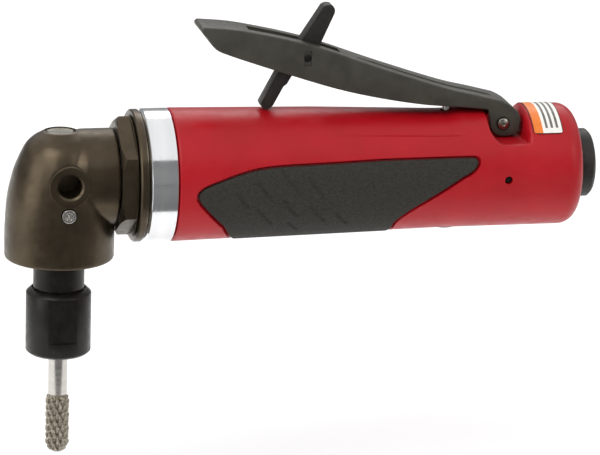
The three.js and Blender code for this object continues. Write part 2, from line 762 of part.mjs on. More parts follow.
function throttleLever() {
  const [pinX, pinZ] = LEVER.pin;
  const top = new THREE.SplineCurve(LEVER_TOP).getPoints(11);
  const side = new THREE.Shape();
  side.moveTo(45.1, 49.7);
  side.lineTo(45.3, 50.8);
  top.forEach((point) => side.lineTo(point.x, point.y));
  side.quadraticCurveTo(153.6, 21.4, 154.6, 17.6);
  side.lineTo(154.2, 13.6);
  side.quadraticCurveTo(153.2, 11.6, pinX + 1, 11.6);
  side.absarc(pinX, pinZ - 0.1, LEVER.earRadius, -0.5 * Math.PI, -Math.PI, true);
  side.lineTo(143.4, 20.9);
  side.splineThru(vectors([[134, 22], [121, 23.2], [106, 25.8], [91, 29.4], [72, 35.5], [55, 41.4],
    [50, 43.8], [47.2, 47.4]]));
  const body = alongY(side, -LEVER.halfWidth + 0.7, LEVER.halfWidth - 0.7, {
    bevelEnabled: true,
    bevelThickness: 0.7,
    bevelSize: 0.7,
    bevelOffset: -0.7,
    bevelSegments: 1,
    curveSegments: 2,
  });
  const under = top.filter((point) => point.x > 49).map((point) => [point.x, point.y - LEVER.plate]);
  const channel = new THREE.Shape(vectors([[under[0][0], 5], ...under]));
  channel.quadraticCurveTo(151.8, 20.3, 152.8, 16.8);
  channel.lineTo(152.8, 5);
  const [slotFrom, slotTo] = LEVER.slot;
  const [lockX, lockZ] = LOCK.pivot;
  const windowDepth = 0.55;
  const windows = [1, -1].map((wall) => {
    const from = wall * (LEVER.halfWidth - windowDepth);
    const faces = [from, wall * (LEVER.halfWidth + 1)].sort((a, b) => a - b);
    return block([lockX - 1.3, faces[0], lockZ - 2.6], [lockX + 1.3, faces[1], lockZ + 2.6]);
  });
  return cutAll(body, [
    alongY(channel, -LEVER.channelHalf, LEVER.channelHalf),
    block([slotFrom, -LEVER.slotHalf, 36], [slotTo, LEVER.slotHalf, 60]),
    rodAt('y', -10, 10, LEVER.pinRadius + GAP, [pinX, 0, pinZ], 24),
    rodAt('y', -10, 10, LOCK.pinRadius + 0.15, [lockX, 0, lockZ], 16),
    ...windows,
  ]);
}

// A pin with a domed head at both ends, lying along Y.
function headedPin(radius, halfLength, headRadius, headHeight) {
  const profile = [
    [-halfLength - headHeight, 0],
    [-halfLength - headHeight * 0.8, headRadius * 0.6],
    [-halfLength, headRadius],
    [-halfLength, radius],
  ];
  const mirrored = profile.map(([place, r]) => [-place, r]).reverse();
  return turned('y', [...profile, ...mirrored], 24);
}

function safetyLock() {
  const [x, z] = LOCK.pivot;
  const arms = new THREE.Shape();
  arms.moveTo(79.2, 44.6);
  arms.lineTo(86.7, 56.2);
  arms.quadraticCurveTo(88.2, 57.4, 89.9, 56.6);
  arms.quadraticCurveTo(91, 55.6, 90.6, 54);
  arms.lineTo(85.7, 42.9);
  arms.lineTo(84.6, 38.4);
  arms.lineTo(76.6, 33);
  arms.lineTo(75.1, 30.4);
  arms.lineTo(74, 29.6);
  arms.lineTo(70.7, 23.4);
  arms.quadraticCurveTo(69.6, 21.9, 68.3, 22);
  arms.quadraticCurveTo(66.6, 22.2, 66.4, 24);
  arms.lineTo(72.2, 35);
  arms.lineTo(77.2, 41.6);
  const body = alongY(arms, -LOCK.halfWidth, LOCK.halfWidth, { curveSegments: 3 });
  const hub = rodAt('y', -LOCK.halfWidth, LOCK.halfWidth, LOCK.hub, [x, 0, z], 24);
  const bore = rodAt('y', -5, 5, LOCK.pinRadius + GAP, [x, 0, z], 16);
  return body.add(hub).subtract(bore);
}

// ---- Putting it together -----------------------------------------------------------------

piece('head_housing', headHousing(), FINISHES.bronzeAnodised);
piece('head_cap_plug', rod('z', 12.8, HEAD.top + 0.15, 5, 32), FINISHES.steel);
piece('grease_fitting', greaseFitting(), FINISHES.steel);
piece('head_lock_nut', lockNut(), FINISHES.bronzeAnodised);
piece('pinion_front_bearing', bearing('x', 15, 21, 11.2, 4.3), FINISHES.bearingSteel);
piece('pinion_bearing_spacer', ring('x', 21.3, 24.7, 11.2, 9.4, SEALED), FINISHES.steel);
piece('pinion_rear_bearing', bearing('x', 31, 25, 11.2, 4.3), FINISHES.bearingSteel);
piece('pinion_retaining_ring', ring('x', 31.3, 32.3, 11.2, 6.5, SEALED), FINISHES.blackOxide);
piece('bevel_pinion', bevelPinion(), FINISHES.castIron);
piece('bevel_gear', bevelWheel(), FINISHES.castIron);
piece('spindle', spindle(), FINISHES.blackOxide);
piece('upper_spindle_bearing', bearing('z', 12.4, 6.4, 5, 2.8), FINISHES.bearingSteel);
piece('lower_spindle_bearing', bearing('z', -22, -15, 13.2, 6.3), FINISHES.bearingSteel);
piece('spindle_seal', ring('z', -24.2, -22.3, 9.9, 6.3, SEALED), FINISHES.felt);
piece('bearing_retainer', turned('z', [
  [HEAD.bottom + 0.1, 8.9],
  [HEAD.bottom + 0.1, 13.3],
  [-22.3, 13.3],
  [-22.3, 10.2],
  [-24.5, 10.2],
  [-24.5, 8.9],
]), FINISHES.blackOxide);
piece('collet', collet(), FINISHES.steel);
piece('collet_nut', colletNut(), FINISHES.blackOxide);
piece('burr', burr(), FINISHES.carbide);

piece('motor_barrel', motorBarrel(), FINISHES.aluminium);
piece('preload_washer', turned('x', [[33.3, 12], [33.3, 14], [33.8, 16.2], [34.6, 16.2], [34.1, 12]], SEALED),
  FINISHES.steel);
piece('front_end_plate', endPlate(MOTOR.frontPlate[0], MOTOR.frontPlate[1], 4.6), FINISHES.castIron);
piece('front_motor_bearing', bearing('x', 35.4, 39.4, 7.9, 4.3), FINISHES.bearingSteel);
piece('cylinder_liner', cylinderLiner(), FINISHES.castIron);
piece('rotor', rotor(), FINISHES.steel);
for (let i = 0; i < MOTOR.vanes; i += 1) {
  piece(`vane_${i + 1}`, vane(), FINISHES.phenolic).rotation.x = i * 2 * Math.PI / MOTOR.vanes;
}
piece('rear_end_plate', endPlate(95, 88.3, 4.4), FINISHES.castIron);
piece('rear_motor_bearing', bearing('x', 94.8, 90.9, 7.9, 4.3), FINISHES.bearingSteel);
piece('bearing_cap', ring('x', 95.3, 97.4, MOTOR.stackRadius, 4.4, SEALED), FINISHES.aluminium);
piece('motor_lock_ring', ring('x', 97.7, 100.3, MOTOR.stackRadius, 11, SEALED), FINISHES.blackOxide);
piece('air_transfer_tube', ring('x', 97.7, 112, 5.5, 4.4, SEALED), FINISHES.brass);
piece('motor_gasket', ring('x', 100.8, 101.6, 17.9, 15.3, SEALED), FINISHES.sealRubber);

piece('housing_shell', housingShell(), FINISHES.redComposite);
piece('grip_overmould', gripBand(-0.3, 1.2, 0), FINISHES.gripRubber);
piece('rear_label', rearLabel(), FINISHES.labelFilm);

const valveParts = [
  piece('valve_bushing', valveBushing(), FINISHES.brass),
  piece('throttle_plunger', throttlePlunger(), FINISHES.steel),
  piece('stem_seal', ring('z', 10.3, 12.2, 2.9, VALVE.stemRadius + GAP, 16), FINISHES.sealRubber),
  piece('valve_spring', solidOf(coil(3, 0.35, 9.6, 6)), FINISHES.steel),
  piece('valve_plug', valvePlug(), FINISHES.blackOxide),
];
valveParts.forEach((mesh) => mesh.position.setX(VALVE.x));
assembly.getObjectByName('valve_spring').position.setZ(-14.6);

piece('inlet_bushing', inletBushing(), FINISHES.steel);
piece('inlet_seal', ring('x', 139, 140.3, 7.7, 5.2, SEALED), FINISHES.sealRubber);
piece('inlet_screen', inletScreen(), FINISHES.brass);
piece('bushing_pin', rodAt('y', -19.6, -7.2, 1.1, [147.6, 0, 0], 12), FINISHES.blackOxide);
piece('muffler_sleeve', ring('x', 160, 171.8, 11.3, 8.1, SEALED), FINISHES.felt);
piece('exhaust_cap', exhaustCap(), FINISHES.blackComposite);

piece('throttle_lever', throttleLever(), FINISHES.blackComposite);
const hingePin = piece('lever_hinge_pin', headedPin(LEVER.pinRadius, 7.5, 2.2, 0.8), FINISHES.steel);
hingePin.position.set(LEVER.pin[0], 0, LEVER.pin[1]);
piece('safety_lock', safetyLock(), FINISHES.blackComposite);
const lockPin = piece('lock_pin', rod('y', -6.9, 6.9, LOCK.pinRadius, 16), FINISHES.steel);
lockPin.position.set(LOCK.pivot[0], 0, LOCK.pivot[1]);
const lockSpring = piece('lock_spring', solidOf(coil(2.2, 0.35, 2, 2).rotateX(-Math.PI / 2)), FINISHES.steel);
lockSpring.position.set(LOCK.pivot[0], 3.1, LOCK.pivot[1]);

const box = new THREE.Box3().setFromObject(tool);
assembly.position.copy(box.getCenter(new THREE.Vector3())).negate();

export default tool;
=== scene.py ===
import json
import math

import bmesh
import bpy
import numpy as np
from mathutils import Matrix, Vector


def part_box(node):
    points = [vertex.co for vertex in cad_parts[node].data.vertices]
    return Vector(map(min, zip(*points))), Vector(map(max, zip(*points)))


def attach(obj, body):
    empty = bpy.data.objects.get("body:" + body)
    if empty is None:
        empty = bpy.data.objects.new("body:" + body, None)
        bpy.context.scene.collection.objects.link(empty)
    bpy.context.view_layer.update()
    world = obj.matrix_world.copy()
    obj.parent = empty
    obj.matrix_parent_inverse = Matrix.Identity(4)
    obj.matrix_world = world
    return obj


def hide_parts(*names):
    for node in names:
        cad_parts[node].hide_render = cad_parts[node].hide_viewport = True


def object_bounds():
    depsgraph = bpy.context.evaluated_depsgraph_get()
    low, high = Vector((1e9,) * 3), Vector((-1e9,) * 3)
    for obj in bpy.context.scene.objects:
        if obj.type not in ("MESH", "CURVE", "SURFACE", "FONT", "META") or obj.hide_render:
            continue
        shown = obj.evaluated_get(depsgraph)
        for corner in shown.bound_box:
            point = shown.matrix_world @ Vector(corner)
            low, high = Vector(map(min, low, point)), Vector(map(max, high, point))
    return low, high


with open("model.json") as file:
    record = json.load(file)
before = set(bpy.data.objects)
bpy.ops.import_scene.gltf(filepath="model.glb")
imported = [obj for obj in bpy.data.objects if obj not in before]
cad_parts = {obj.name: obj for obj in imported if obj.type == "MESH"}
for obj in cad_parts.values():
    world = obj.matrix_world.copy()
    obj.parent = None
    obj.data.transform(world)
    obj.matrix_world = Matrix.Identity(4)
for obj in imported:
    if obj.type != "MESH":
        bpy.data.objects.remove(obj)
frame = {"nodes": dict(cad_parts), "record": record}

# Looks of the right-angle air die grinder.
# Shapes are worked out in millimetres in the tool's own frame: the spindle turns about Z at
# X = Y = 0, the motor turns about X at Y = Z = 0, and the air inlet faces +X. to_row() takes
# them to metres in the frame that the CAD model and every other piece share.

cad_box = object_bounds()

MM = 0.001
SMOOTHEST = 160  # facets round the two turned pieces that shine most
ROUND = 128  # facets round a turned piece
MEDIUM = 64  # facets round a middling one
FINE = 48  # facets round a small one
COARSE = 24  # facets round a tiny hole
NOTHING = 1e-6  # millimetres that count as none
SAME_PLACE = 1e-7  # metres between vertices that are joined


# ---- Places taken from the CAD frame ----------------------------------------------------------


def middle(node):
    """The middle of a node's box in the row frame, in metres."""
    low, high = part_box(node)
    return (low + high) / 2


ORIGIN = np.array([middle("spindle").x, 0.0, middle("motor_barrel").z]) / MM


def to_row(points):
    """Tool frame millimetres as row frame metres."""
    return (np.asarray(points, float) + ORIGIN) * MM


def span(node):
    """A node's lowest and highest corners in the tool frame, in millimetres."""
    low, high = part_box(node)
    return np.array(low) / MM - ORIGIN, np.array(high) / MM - ORIGIN


def middle_mm(node):
    """The middle of a node's box in the tool frame, in millimetres."""
    low, high = span(node)
    return (low + high) / 2


# ---- Meshes ------------------------------------------------------------------------------------


def added(name, data):
    """A new object in the scene that carries the mesh, light or lens."""
    obj = bpy.data.objects.new(name, data)
    bpy.context.scene.collection.objects.link(obj)
    return obj


def mesh_object(name, vertices, faces):
    """A mesh from tool frame points, with doubled points joined and its faces turned outwards."""
    mesh = bpy.data.meshes.new(name)
    mesh.from_pydata(to_row(vertices).tolist(), [], faces)
    work = bmesh.new()
    work.from_mesh(mesh)
    bmesh.ops.remove_doubles(work, verts=work.verts, dist=SAME_PLACE)
    bmesh.ops.recalc_face_normals(work, faces=work.faces)
    work.to_mesh(mesh)
    work.free()
    return added(name, mesh)


def strip(first, second, count):
    """The faces between two closed rings of count vertices, from the number each ring starts at."""
    pairs = [(i, (i + 1) % count) for i in range(count)]
    return [(first + i, first + j, second + j, second + i) for i, j in pairs]


def solid_through(name, sections, centre=(0, 0, 0)):
    """A solid through closed sections that have the same number of points, with flat ends."""
    count = len(sections[0])
    last = (len(sections) - 1) * count
    faces = [list(range(count)), list(range(last, last + count))]
    for start in range(0, last, count):
        faces += strip(start, start + count, count)
    return mesh_object(name, np.vstack(sections) + np.array(centre), faces)


def bake(obj):
    """Applies the object's modifiers to its mesh."""
    graph = bpy.context.evaluated_depsgraph_get()
    mesh = bpy.data.meshes.new_from_object(obj.evaluated_get(graph))
    obj.modifiers.clear()
    old = obj.data
    obj.data = mesh
    bpy.data.meshes.remove(old)
    return obj


def combine(obj, operation, *others):
    """Cuts the other objects from this one, joins them to it, or keeps what they share."""
    for other in others:
        modifier = obj.modifiers.new("combine", "BOOLEAN")
        modifier.operation = operation
        modifier.solver = "MANIFOLD"
        modifier.object = other
    bake(obj)
    for other in others:
        bpy.data.objects.remove(other)
    return obj


def soften(obj, width, segments=3, angle=35):
    """Rounds the edges that are sharper than the angle, by the width in millimetres."""
    modifier = obj.modifiers.new("soften", "BEVEL")
    modifier.width = width * MM
    modifier.segments = segments
    modifier.limit_method = "ANGLE"
    modifier.angle_limit = math.radians(angle)
    modifier.miter_outer = "MITER_ARC"
    return bake(obj)


def put(obj, body, slot, material, *nodes, sharp=32):
    """Shades a piece, gives it its material, ties it to its body, and hides the nodes it stands for."""
    mesh = obj.data
    mesh.polygons.foreach_set("use_smooth", [True] * len(mesh.polygons))
    mesh.set_sharp_from_angle(angle=math.radians(sharp))
    if not mesh.materials:
        mesh.materials.append(material)
    else:
        mesh.materials[0] = material
    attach(obj, body)
    if nodes:
        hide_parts(*nodes)
    return obj


def pulled(start, control, end, t):
    """The point a share t of the way along a curve from start to end, pulled towards control."""
    return tuple((1 - t) ** 2 * start + 2 * t * (1 - t) * control + t * t * end)


def rounded(profile, radius, steps=4):
    """Replaces the corners of a profile, other than its two ends, with round ones."""
    most = 0.45  # the largest share of a side that one corner takes
    result = [profile[0]]
    for before, corner, after in zip(profile, profile[1:], profile[2:]):
        corner = np.array(corner, float)
        back = np.array(before, float) - corner
        ahead = np.array(after, float) - corner
        room = min(radius, np.linalg.norm(back) * most, np.linalg.norm(ahead) * most)
        start = corner + back / np.linalg.norm(back) * room
        end = corner + ahead / np.linalg.norm(ahead) * room
        result += [pulled(start, corner, end, t) for t in np.linspace(0, 1, steps + 1)]
    result.append(profile[-1])
    return result


def spun(axis, place, radius, angle):
    """A point at an angle round one of the axes."""
    c = radius * math.cos(angle)
    s = radius * math.sin(angle)
    return {"x": (place, s, c), "y": (s, place, c), "z": (c, s, place)}[axis]


def turned(name, axis, profile, segments=ROUND, centre=(0, 0, 0)):
    """A turned piece from (place along the axis, radius) pairs, from axis to axis or a closed ring."""
    vertices = []
    rings = []
    for place, radius in profile:
        count = segments if radius > NOTHING else 1
        rings.append(range(len(vertices), len(vertices) + count))
        vertices += [spun(axis, place, radius, 2 * math.pi * i / count) for i in range(count)]
    pairs = list(zip(rings, rings[1:]))
    if profile[0][1] > NOTHING:
        pairs.append((rings[-1], rings[0]))
    faces = []
    for a, b in pairs:
        for i in range(segments):
            j = (i + 1) % segments
            corners = [a[i % len(a)], a[j % len(a)], b[j % len(b)], b[i % len(b)]]
            faces.append(list(dict.fromkeys(corners)))
    return mesh_object(name, np.array(vertices) + np.array(centre), faces)


def rod(axis, start, end, radius, centre=(0, 0, 0), segments=FINE):
    """A plain round bar between two places along an axis."""
    profile = [(start, 0), (start, radius), (end, radius), (end, 0)]
    return turned("rod", axis, profile, segments, centre)


def block(low, high, turn=0.0):
    """A box between two corners, turned about Z by an angle in radians."""
    xs, ys, zs = zip(low, high)
    corners = [(x, y, z) for x in xs for y in ys for z in zs]
    faces = [(0, 1, 3, 2), (4, 6, 7, 5), (0, 4, 5, 1), (2, 3, 7, 6), (0, 2, 6, 4), (1, 5, 7, 3)]
    spin = np.array(Matrix.Rotation(turn, 3, "Z"))
    return mesh_object("block", np.array(corners) @ spin.T, faces)


def prism(name, outline, start, end):
    """An (X, Z) outline extruded along Y."""
    count = len(outline)
    vertices = [(x, y, z) for y in (start, end) for x, z in outline]
    faces = [list(range(count)), list(range(2 * count - 1, count - 1, -1))]
    faces += strip(0, count, count)
    return mesh_object(name, vertices, faces)


def smooth_curve(points, spacing=1.0):
    """Points along a smooth curve through the given ones."""
    points = [np.array(p, float) for p in points]
    ends = [2 * points[0] - points[1], *points, 2 * points[-1] - points[-2]]
    result = []
    for a, b, c, d in zip(ends, ends[1:], ends[2:], ends[3:]):
        steps = max(1, round(np.linalg.norm(c - b) / spacing))
        for t in np.arange(steps) / steps:
            curve = 2 * b + (c - a) * t + (2 * a - 5 * b + 4 * c - d) * t**2
            curve += (3 * b - a - 3 * c + d) * t**3
            result.append(curve / 2)
    result.append(points[-1])
    return [tuple(p) for p in result]


def bend(outline, control, end, steps=6):
    """Carries an outline on from its last point to end, by a curve pulled towards control."""
    start, control, end = (np.array(p, float) for p in (outline[-1], control, end))
    outline += [pulled(start, control, end, t) for t in np.arange(1, steps + 1) / steps]


def arc(centre, radius, start, end, steps=10):
    """Points on a circle between two angles in degrees, both ends included."""
    angles = np.radians(np.linspace(start, end, steps + 1))
    return [(centre[0] + radius * math.cos(a), centre[1] + radius * math.sin(a)) for a in angles]


# ---- Materials ---------------------------------------------------------------------------------


def colour(red, green, blue):
    """An sRGB colour from 0 to 255 as the linear one that shaders take."""
    def linear(level):
        share = level / 255
        return share / 12.92 if level <= 10 else ((share + 0.055) / 1.055) ** 2.4

    return (linear(red), linear(green), linear(blue), 1.0)


class Finish:
    """A material whose colour, roughness and relief come from noise in the piece's own space."""

    def __init__(self, name, roughness=0.5, metallic=0.0, coat=0.0, specular=0.5):
        self.material = bpy.data.materials.new(name)
        self.material.use_nodes = True
        self.nodes = self.material.node_tree.nodes
        self.links = self.material.node_tree.links
        self.shader = self.nodes["Principled BSDF"]
        self.shader.inputs["Metallic"].default_value = metallic
        self.shader.inputs["Coat Weight"].default_value = coat
        self.shader.inputs["Coat Roughness"].default_value = 0.25
        self.shader.inputs["Specular IOR Level"].default_value = specular
        self.place = self.nodes.new("ShaderNodeTexCoord").outputs["Object"]
        self.height = None
        self.roughness = roughness

    def noise(self, size, stretch=(1, 1, 1), detail=4):
        """Noise whose blotches are about size millimetres across."""
        mapping = self.nodes.new("ShaderNodeMapping")
        mapping.inputs["Scale"].default_value = [s / (size * MM) for s in stretch]
        self.links.new(self.place, mapping.inputs["Vector"])
        texture = self.nodes.new("ShaderNodeTexNoise")
        texture.inputs["Scale"].default_value = 1.0
        texture.inputs["Detail"].default_value = detail
        self.links.new(mapping.outputs["Vector"], texture.inputs["Vector"])
        return texture.outputs["Fac"]

    def cells(self, size):
        """Distance to the nearest of many points about size millimetres apart."""
        texture = self.nodes.new("ShaderNodeTexVoronoi")
        texture.inputs["Scale"].default_value = 1 / (size * MM)
        self.links.new(self.place, texture.inputs["Vector"])
        return texture.outputs["Distance"]

    def spread(self, value, low, high, start=0.35, end=0.65):
        """Takes a value from one range to another, clamped."""
        node = self.nodes.new("ShaderNodeMapRange")
        node.inputs["From Min"].default_value = start
        node.inputs["From Max"].default_value = end
        node.inputs["To Min"].default_value = low
        node.inputs["To Max"].default_value = high
        self.links.new(value, node.inputs["Value"])
        return node.outputs["Result"]

    def mix(self, factor, first, second):
        """Goes from the first colour to the second as the factor goes from 0 to 1."""
        node = self.nodes.new("ShaderNodeMix")
        node.data_type = "RGBA"
        self.links.new(factor, node.inputs["Factor"])
        for value, socket in ((first, node.inputs[6]), (second, node.inputs[7])):
            if isinstance(value, tuple):
                socket.default_value = value
            else:
                self.links.new(value, socket)
        return node.outputs[2]

    def times(self, first, second):
        node = self.nodes.new("ShaderNodeMath")
        node.operation = "MULTIPLY"
        self.links.new(first, node.inputs[0])
        self.links.new(second, node.inputs[1])
        return node.outputs["Value"]

    def tint(self, first, second, size, stretch=(1, 1, 1)):
        """Colours the surface in two tones, in blotches of the given size."""
        self.base = self.mix(self.spread(self.noise(size, stretch), 0, 1), first, second)
        self.links.new(self.base, self.shader.inputs["Base Color"])
        return self

    def rough(self, amount, size, stretch=(1, 1, 1)):
        """Varies the roughness by the amount either way."""
        low, high = self.roughness - amount, self.roughness + amount
        value = self.spread(self.noise(size, stretch), low, high)
        self.links.new(value, self.shader.inputs["Roughness"])
        return self

    def relief(self, value, depth, strength=1.0):
        """Adds relief of the given depth in millimetres."""
        bump = self.nodes.new("ShaderNodeBump")
        bump.inputs["Distance"].default_value = depth * MM
        bump.inputs["Strength"].default_value = strength
        self.links.new(value, bump.inputs["Height"])
        if self.height is not None:
            self.links.new(self.height, bump.inputs["Normal"])
        self.height = bump.outputs["Normal"]
        self.links.new(self.height, self.shader.inputs["Normal"])
        return self

    def edge_wear_and_highlight(self, edge_tone, amount, width=0.3, size=0.8):
        """Shows the edge tone within the width of the edges, in patches: wear, and on the lever partly a
        painted highlight as well.
        """
        rounded_edge = self.nodes.new("ShaderNodeBevel")
        rounded_edge.inputs["Radius"].default_value = width * MM
        surface = self.nodes.new("ShaderNodeNewGeometry")
        facing = self.nodes.new("ShaderNodeVectorMath")
        facing.operation = "DOT_PRODUCT"
        self.links.new(rounded_edge.outputs["Normal"], facing.inputs[0])
        self.links.new(surface.outputs["Normal"], facing.inputs[1])
        edge = self.spread(facing.outputs["Value"], 1, 0, 0.8, 0.97)
        patches = self.spread(self.noise(size), 0, amount, 0.3, 0.6)
        self.base = self.mix(self.times(edge, patches), self.base, edge_tone)
        self.links.new(self.base, self.shader.inputs["Base Color"])
        return self

    def scratched(self, size, depth, stretch):
        """Fine parallel tool marks."""
        return self.relief(self.noise(size, stretch, detail=2), depth)


AROUND_X = (1, 0.04, 0.04)  # marks that run round the motor's axis
AROUND_Z = (0.04, 0.04, 1)  # marks that run round the spindle's axis


def anodised():
    finish = Finish("bronze_anodised", roughness=0.34, metallic=0.9, specular=0.4)
    finish.tint(colour(88, 78, 63), colour(76, 66, 53), 9)
    finish.edge_wear_and_highlight(colour(128, 118, 98), 0.45)
    finish.rough(0.06, 3)
    return finish.relief(finish.noise(0.35), 0.012).material


def red_composite():
    finish = Finish("red_composite", roughness=0.38, specular=0.32)
    finish.tint(colour(170, 13, 26), colour(161, 10, 22), 14)
    finish.rough(0.05, 4)
    return finish.relief(finish.noise(0.5), 0.012).relief(finish.cells(0.28), 0.006).material


def grip_rubber():
    finish = Finish("grip_rubber", roughness=0.78, specular=0.35)
    finish.tint(colour(52, 50, 44), colour(40, 38, 33), 0.7)
    finish.rough(0.07, 0.6)
    return finish.relief(finish.cells(0.42), 0.16).relief(finish.noise(0.2), 0.08).material


def black_composite():
    finish = Finish("black_composite", roughness=0.44, specular=0.42)
    finish.tint(colour(65, 63, 55), colour(55, 53, 46), 6)
    # Lighter edges: partly wear, partly a painted highlight along the lever's rounded edges.
    finish.edge_wear_and_highlight(colour(92, 90, 81), 0.4)
    finish.rough(0.06, 2)
    return finish.relief(finish.noise(0.30), 0.018).material


def lock_black():
    finish = Finish("lock_black", roughness=0.5, specular=0.4)
    finish.tint(colour(44, 41, 37), colour(34, 32, 29), 4)
    finish.edge_wear_and_highlight(colour(84, 80, 72), 0.4)
    finish.rough(0.07, 1.5)
    return finish.relief(finish.noise(0.3), 0.02).material


def black_oxide():
    finish = Finish("black_oxide", roughness=0.36, metallic=0.6)
    finish.tint(colour(36, 33, 29), colour(26, 24, 21), 5)
    finish.edge_wear_and_highlight(colour(120, 115, 106), 0.45)
    finish.rough(0.08, 1.6)
    return finish.scratched(0.12, 0.006, AROUND_Z).material


def bright_metal(name, first, second, roughness, stretch, depth=0.004):
    finish = Finish(name, roughness=roughness, metallic=1.0)
    finish.tint(first, second, 4, stretch)
    finish.rough(roughness * 0.35, 0.5, stretch)
    return finish.scratched(0.14, depth, stretch).material


def carbide():
    finish = Finish("carbide", roughness=0.38, metallic=0.85)
    finish.tint(colour(176, 168, 152), colour(118, 110, 98), 0.7)
    finish.rough(0.1, 0.4)
    return finish.relief(finish.noise(0.12), 0.015).material


def plain(name, first, second, roughness, size, metallic=0.0, grain=0.02):
    finish = Finish(name, roughness=roughness, metallic=metallic)
    finish.tint(first, second, size)
    finish.rough(0.08, size / 2)
    return finish.relief(finish.noise(size / 6), grain).material


BRONZE = anodised()
RED = red_composite()
GRIP = grip_rubber()
LEVER_BLACK = black_composite()
LOCK_BLACK = lock_black()
OXIDE = black_oxide()
COLLAR = bright_metal("turned_aluminium", colour(248, 249, 250), colour(238, 240, 242), 0.13, AROUND_X)
SHANK = bright_metal("ground_steel", colour(214, 211, 205), colour(196, 192, 186), 0.17, AROUND_Z)
STEEL = bright_metal("steel", colour(158, 154, 144), colour(138, 134, 124), 0.3, (0.1, 1, 1), 0.0015)
BEARING = bright_metal("bearing_steel", colour(200, 202, 204), colour(180, 182, 186), 0.2, (1, 1, 1))
CARBIDE = carbide()
IRON = plain("cast_iron", colour(92, 92, 96), colour(72, 72, 76), 0.55, 2, metallic=0.8)
BRASS = plain("brass", colour(196, 160, 92), colour(176, 138, 72), 0.34, 3, metallic=1.0)
SEAL = plain("seal_rubber", colour(30, 30, 30), colour(20, 20, 20), 0.75, 1.5)
FELT = plain("felt", colour(205, 196, 174), colour(180, 168, 142), 0.95, 0.8, grain=0.2)
PHENOLIC = plain("phenolic", colour(118, 82, 48), colour(92, 62, 36), 0.6, 1.2)
PAPER = plain("label_white", colour(238, 236, 230), colour(230, 227, 220), 0.42, 3, grain=0.004)
ORANGE = plain("label_orange", colour(232, 126, 38), colour(224, 114, 30), 0.42, 3, grain=0.004)
INK = plain("label_ink", colour(112, 110, 106), colour(90, 88, 84), 0.5, 2, grain=0.004)
BORDER = plain("label_border", colour(84, 22, 20), colour(60, 18, 16), 0.5, 2, grain=0.004)

SLOT_MATERIALS = {
    "bronze_anodised": BRONZE, "steel": STEEL, "bearing_steel": BEARING, "black_oxide": OXIDE,
    "cast_iron": IRON, "aluminium": COLLAR, "brass": BRASS, "seal_rubber": SEAL, "felt": FELT,
    "phenolic": PHENOLIC, "red_composite": RED, "grip_rubber": GRIP, "label_film": PAPER,
    "black_composite": LEVER_BLACK, "carbide": CARBIDE,
}


def dress_cad_nodes():
    """Gives every CAD node the material of its slot in the record."""
    for part in frame["record"]["subparts"]:
        for material_slot in frame["nodes"][part["node"]].material_slots:
            material_slot.material = SLOT_MATERIALS[part["material_slot"]]


# ---- Angle head --------------------------------------------------------------------------------


def head_casting():
    low, high = span("head_housing")
    radius = -low[0]
    bottom, top = low[2], high[2]
    skirt = bottom + 9  # top of the straight wall below the crown
    neck = 16.0  # radius of the level barrel
    shoulder = span("head_lock_nut")[0][0] - 0.3
    crown = smooth_curve([
        (skirt, radius), (-15.7, 18.1), (-8.9, 17.7), (-3.8, 17.0),
        (3, 15.3), (9, 12.8), (12, 11.0), (14, 8.9),
    ])
    profile = rounded([(bottom, 0), (bottom, radius), (skirt, radius)], 0.9)
    profile += crown[1:] + [(15.1, 7.0), (top, 5.5), (top, 0)]
    barrel = turned("head_casting", "z", profile)
    level = turned("level", "x", [(0, 0), (0, neck - 1.6), (7, neck), (shoulder, neck), (shoulder, 0)])
    combine(barrel, "UNION", level)
    melt(barrel, voxel=0.45, rounds=6)
    settle_on_walls(barrel, crown, radius, bottom, neck, shoulder)
    face = -16.8  # where the side handle's boss is cut flat, along Y
    hole = (0.9, 0, 1)  # middle of the side handle's hole
    boss = 6.9  # radius of the boss round the hole
    hole_radius, hole_floor = 3.95, -7
    edge = rounded([(-12, 0), (-12, boss), (face - 0.05, boss), (face - 0.05, 0)], 0.35)
    combine(barrel, "UNION", turned("boss", "y", edge, ROUND, hole))
    rim = [(face - 1, 0), (face - 1, 5.6), (face + 0.7, 3.9), (face + 0.7, 0)]
    bearing_bore, cap_bore, fitting_bore = 13.6, 5.15, 2.65
    fitting = middle_mm("grease_fitting")
    outside = -22  # clear of the head, along Y
    combine(
        barrel, "DIFFERENCE",
        block((shoulder, -20, bottom - 1), (shoulder + 9, 20, top + 1)),
        rod("z", bottom - 1, bottom + 12, bearing_bore, segments=ROUND),
        rod("z", 11, top + 2, cap_bore, segments=ROUND),
        rod("y", outside, face, boss - 0.3, hole, ROUND),
        turned("rim", "y", rim, ROUND, hole),
        rod("y", face - 1, hole_floor, hole_radius, hole, ROUND),
        rod("y", outside, -12, fitting_bore, (fitting[0], 0, fitting[2])),
    )
    return put(barrel, "root", "bronze_anodised", BRONZE, "head_housing")


def melt(obj, voxel, rounds):
    """Turns a joined mesh into one even skin and melts its inner corners."""
    remesh = obj.modifiers.new("remesh", "REMESH")
    remesh.mode = "VOXEL"
    remesh.voxel_size = voxel * MM
    smooth = obj.modifiers.new("smooth", "SMOOTH")
    smooth.factor = 0.5
    smooth.iterations = rounds
    return bake(obj)


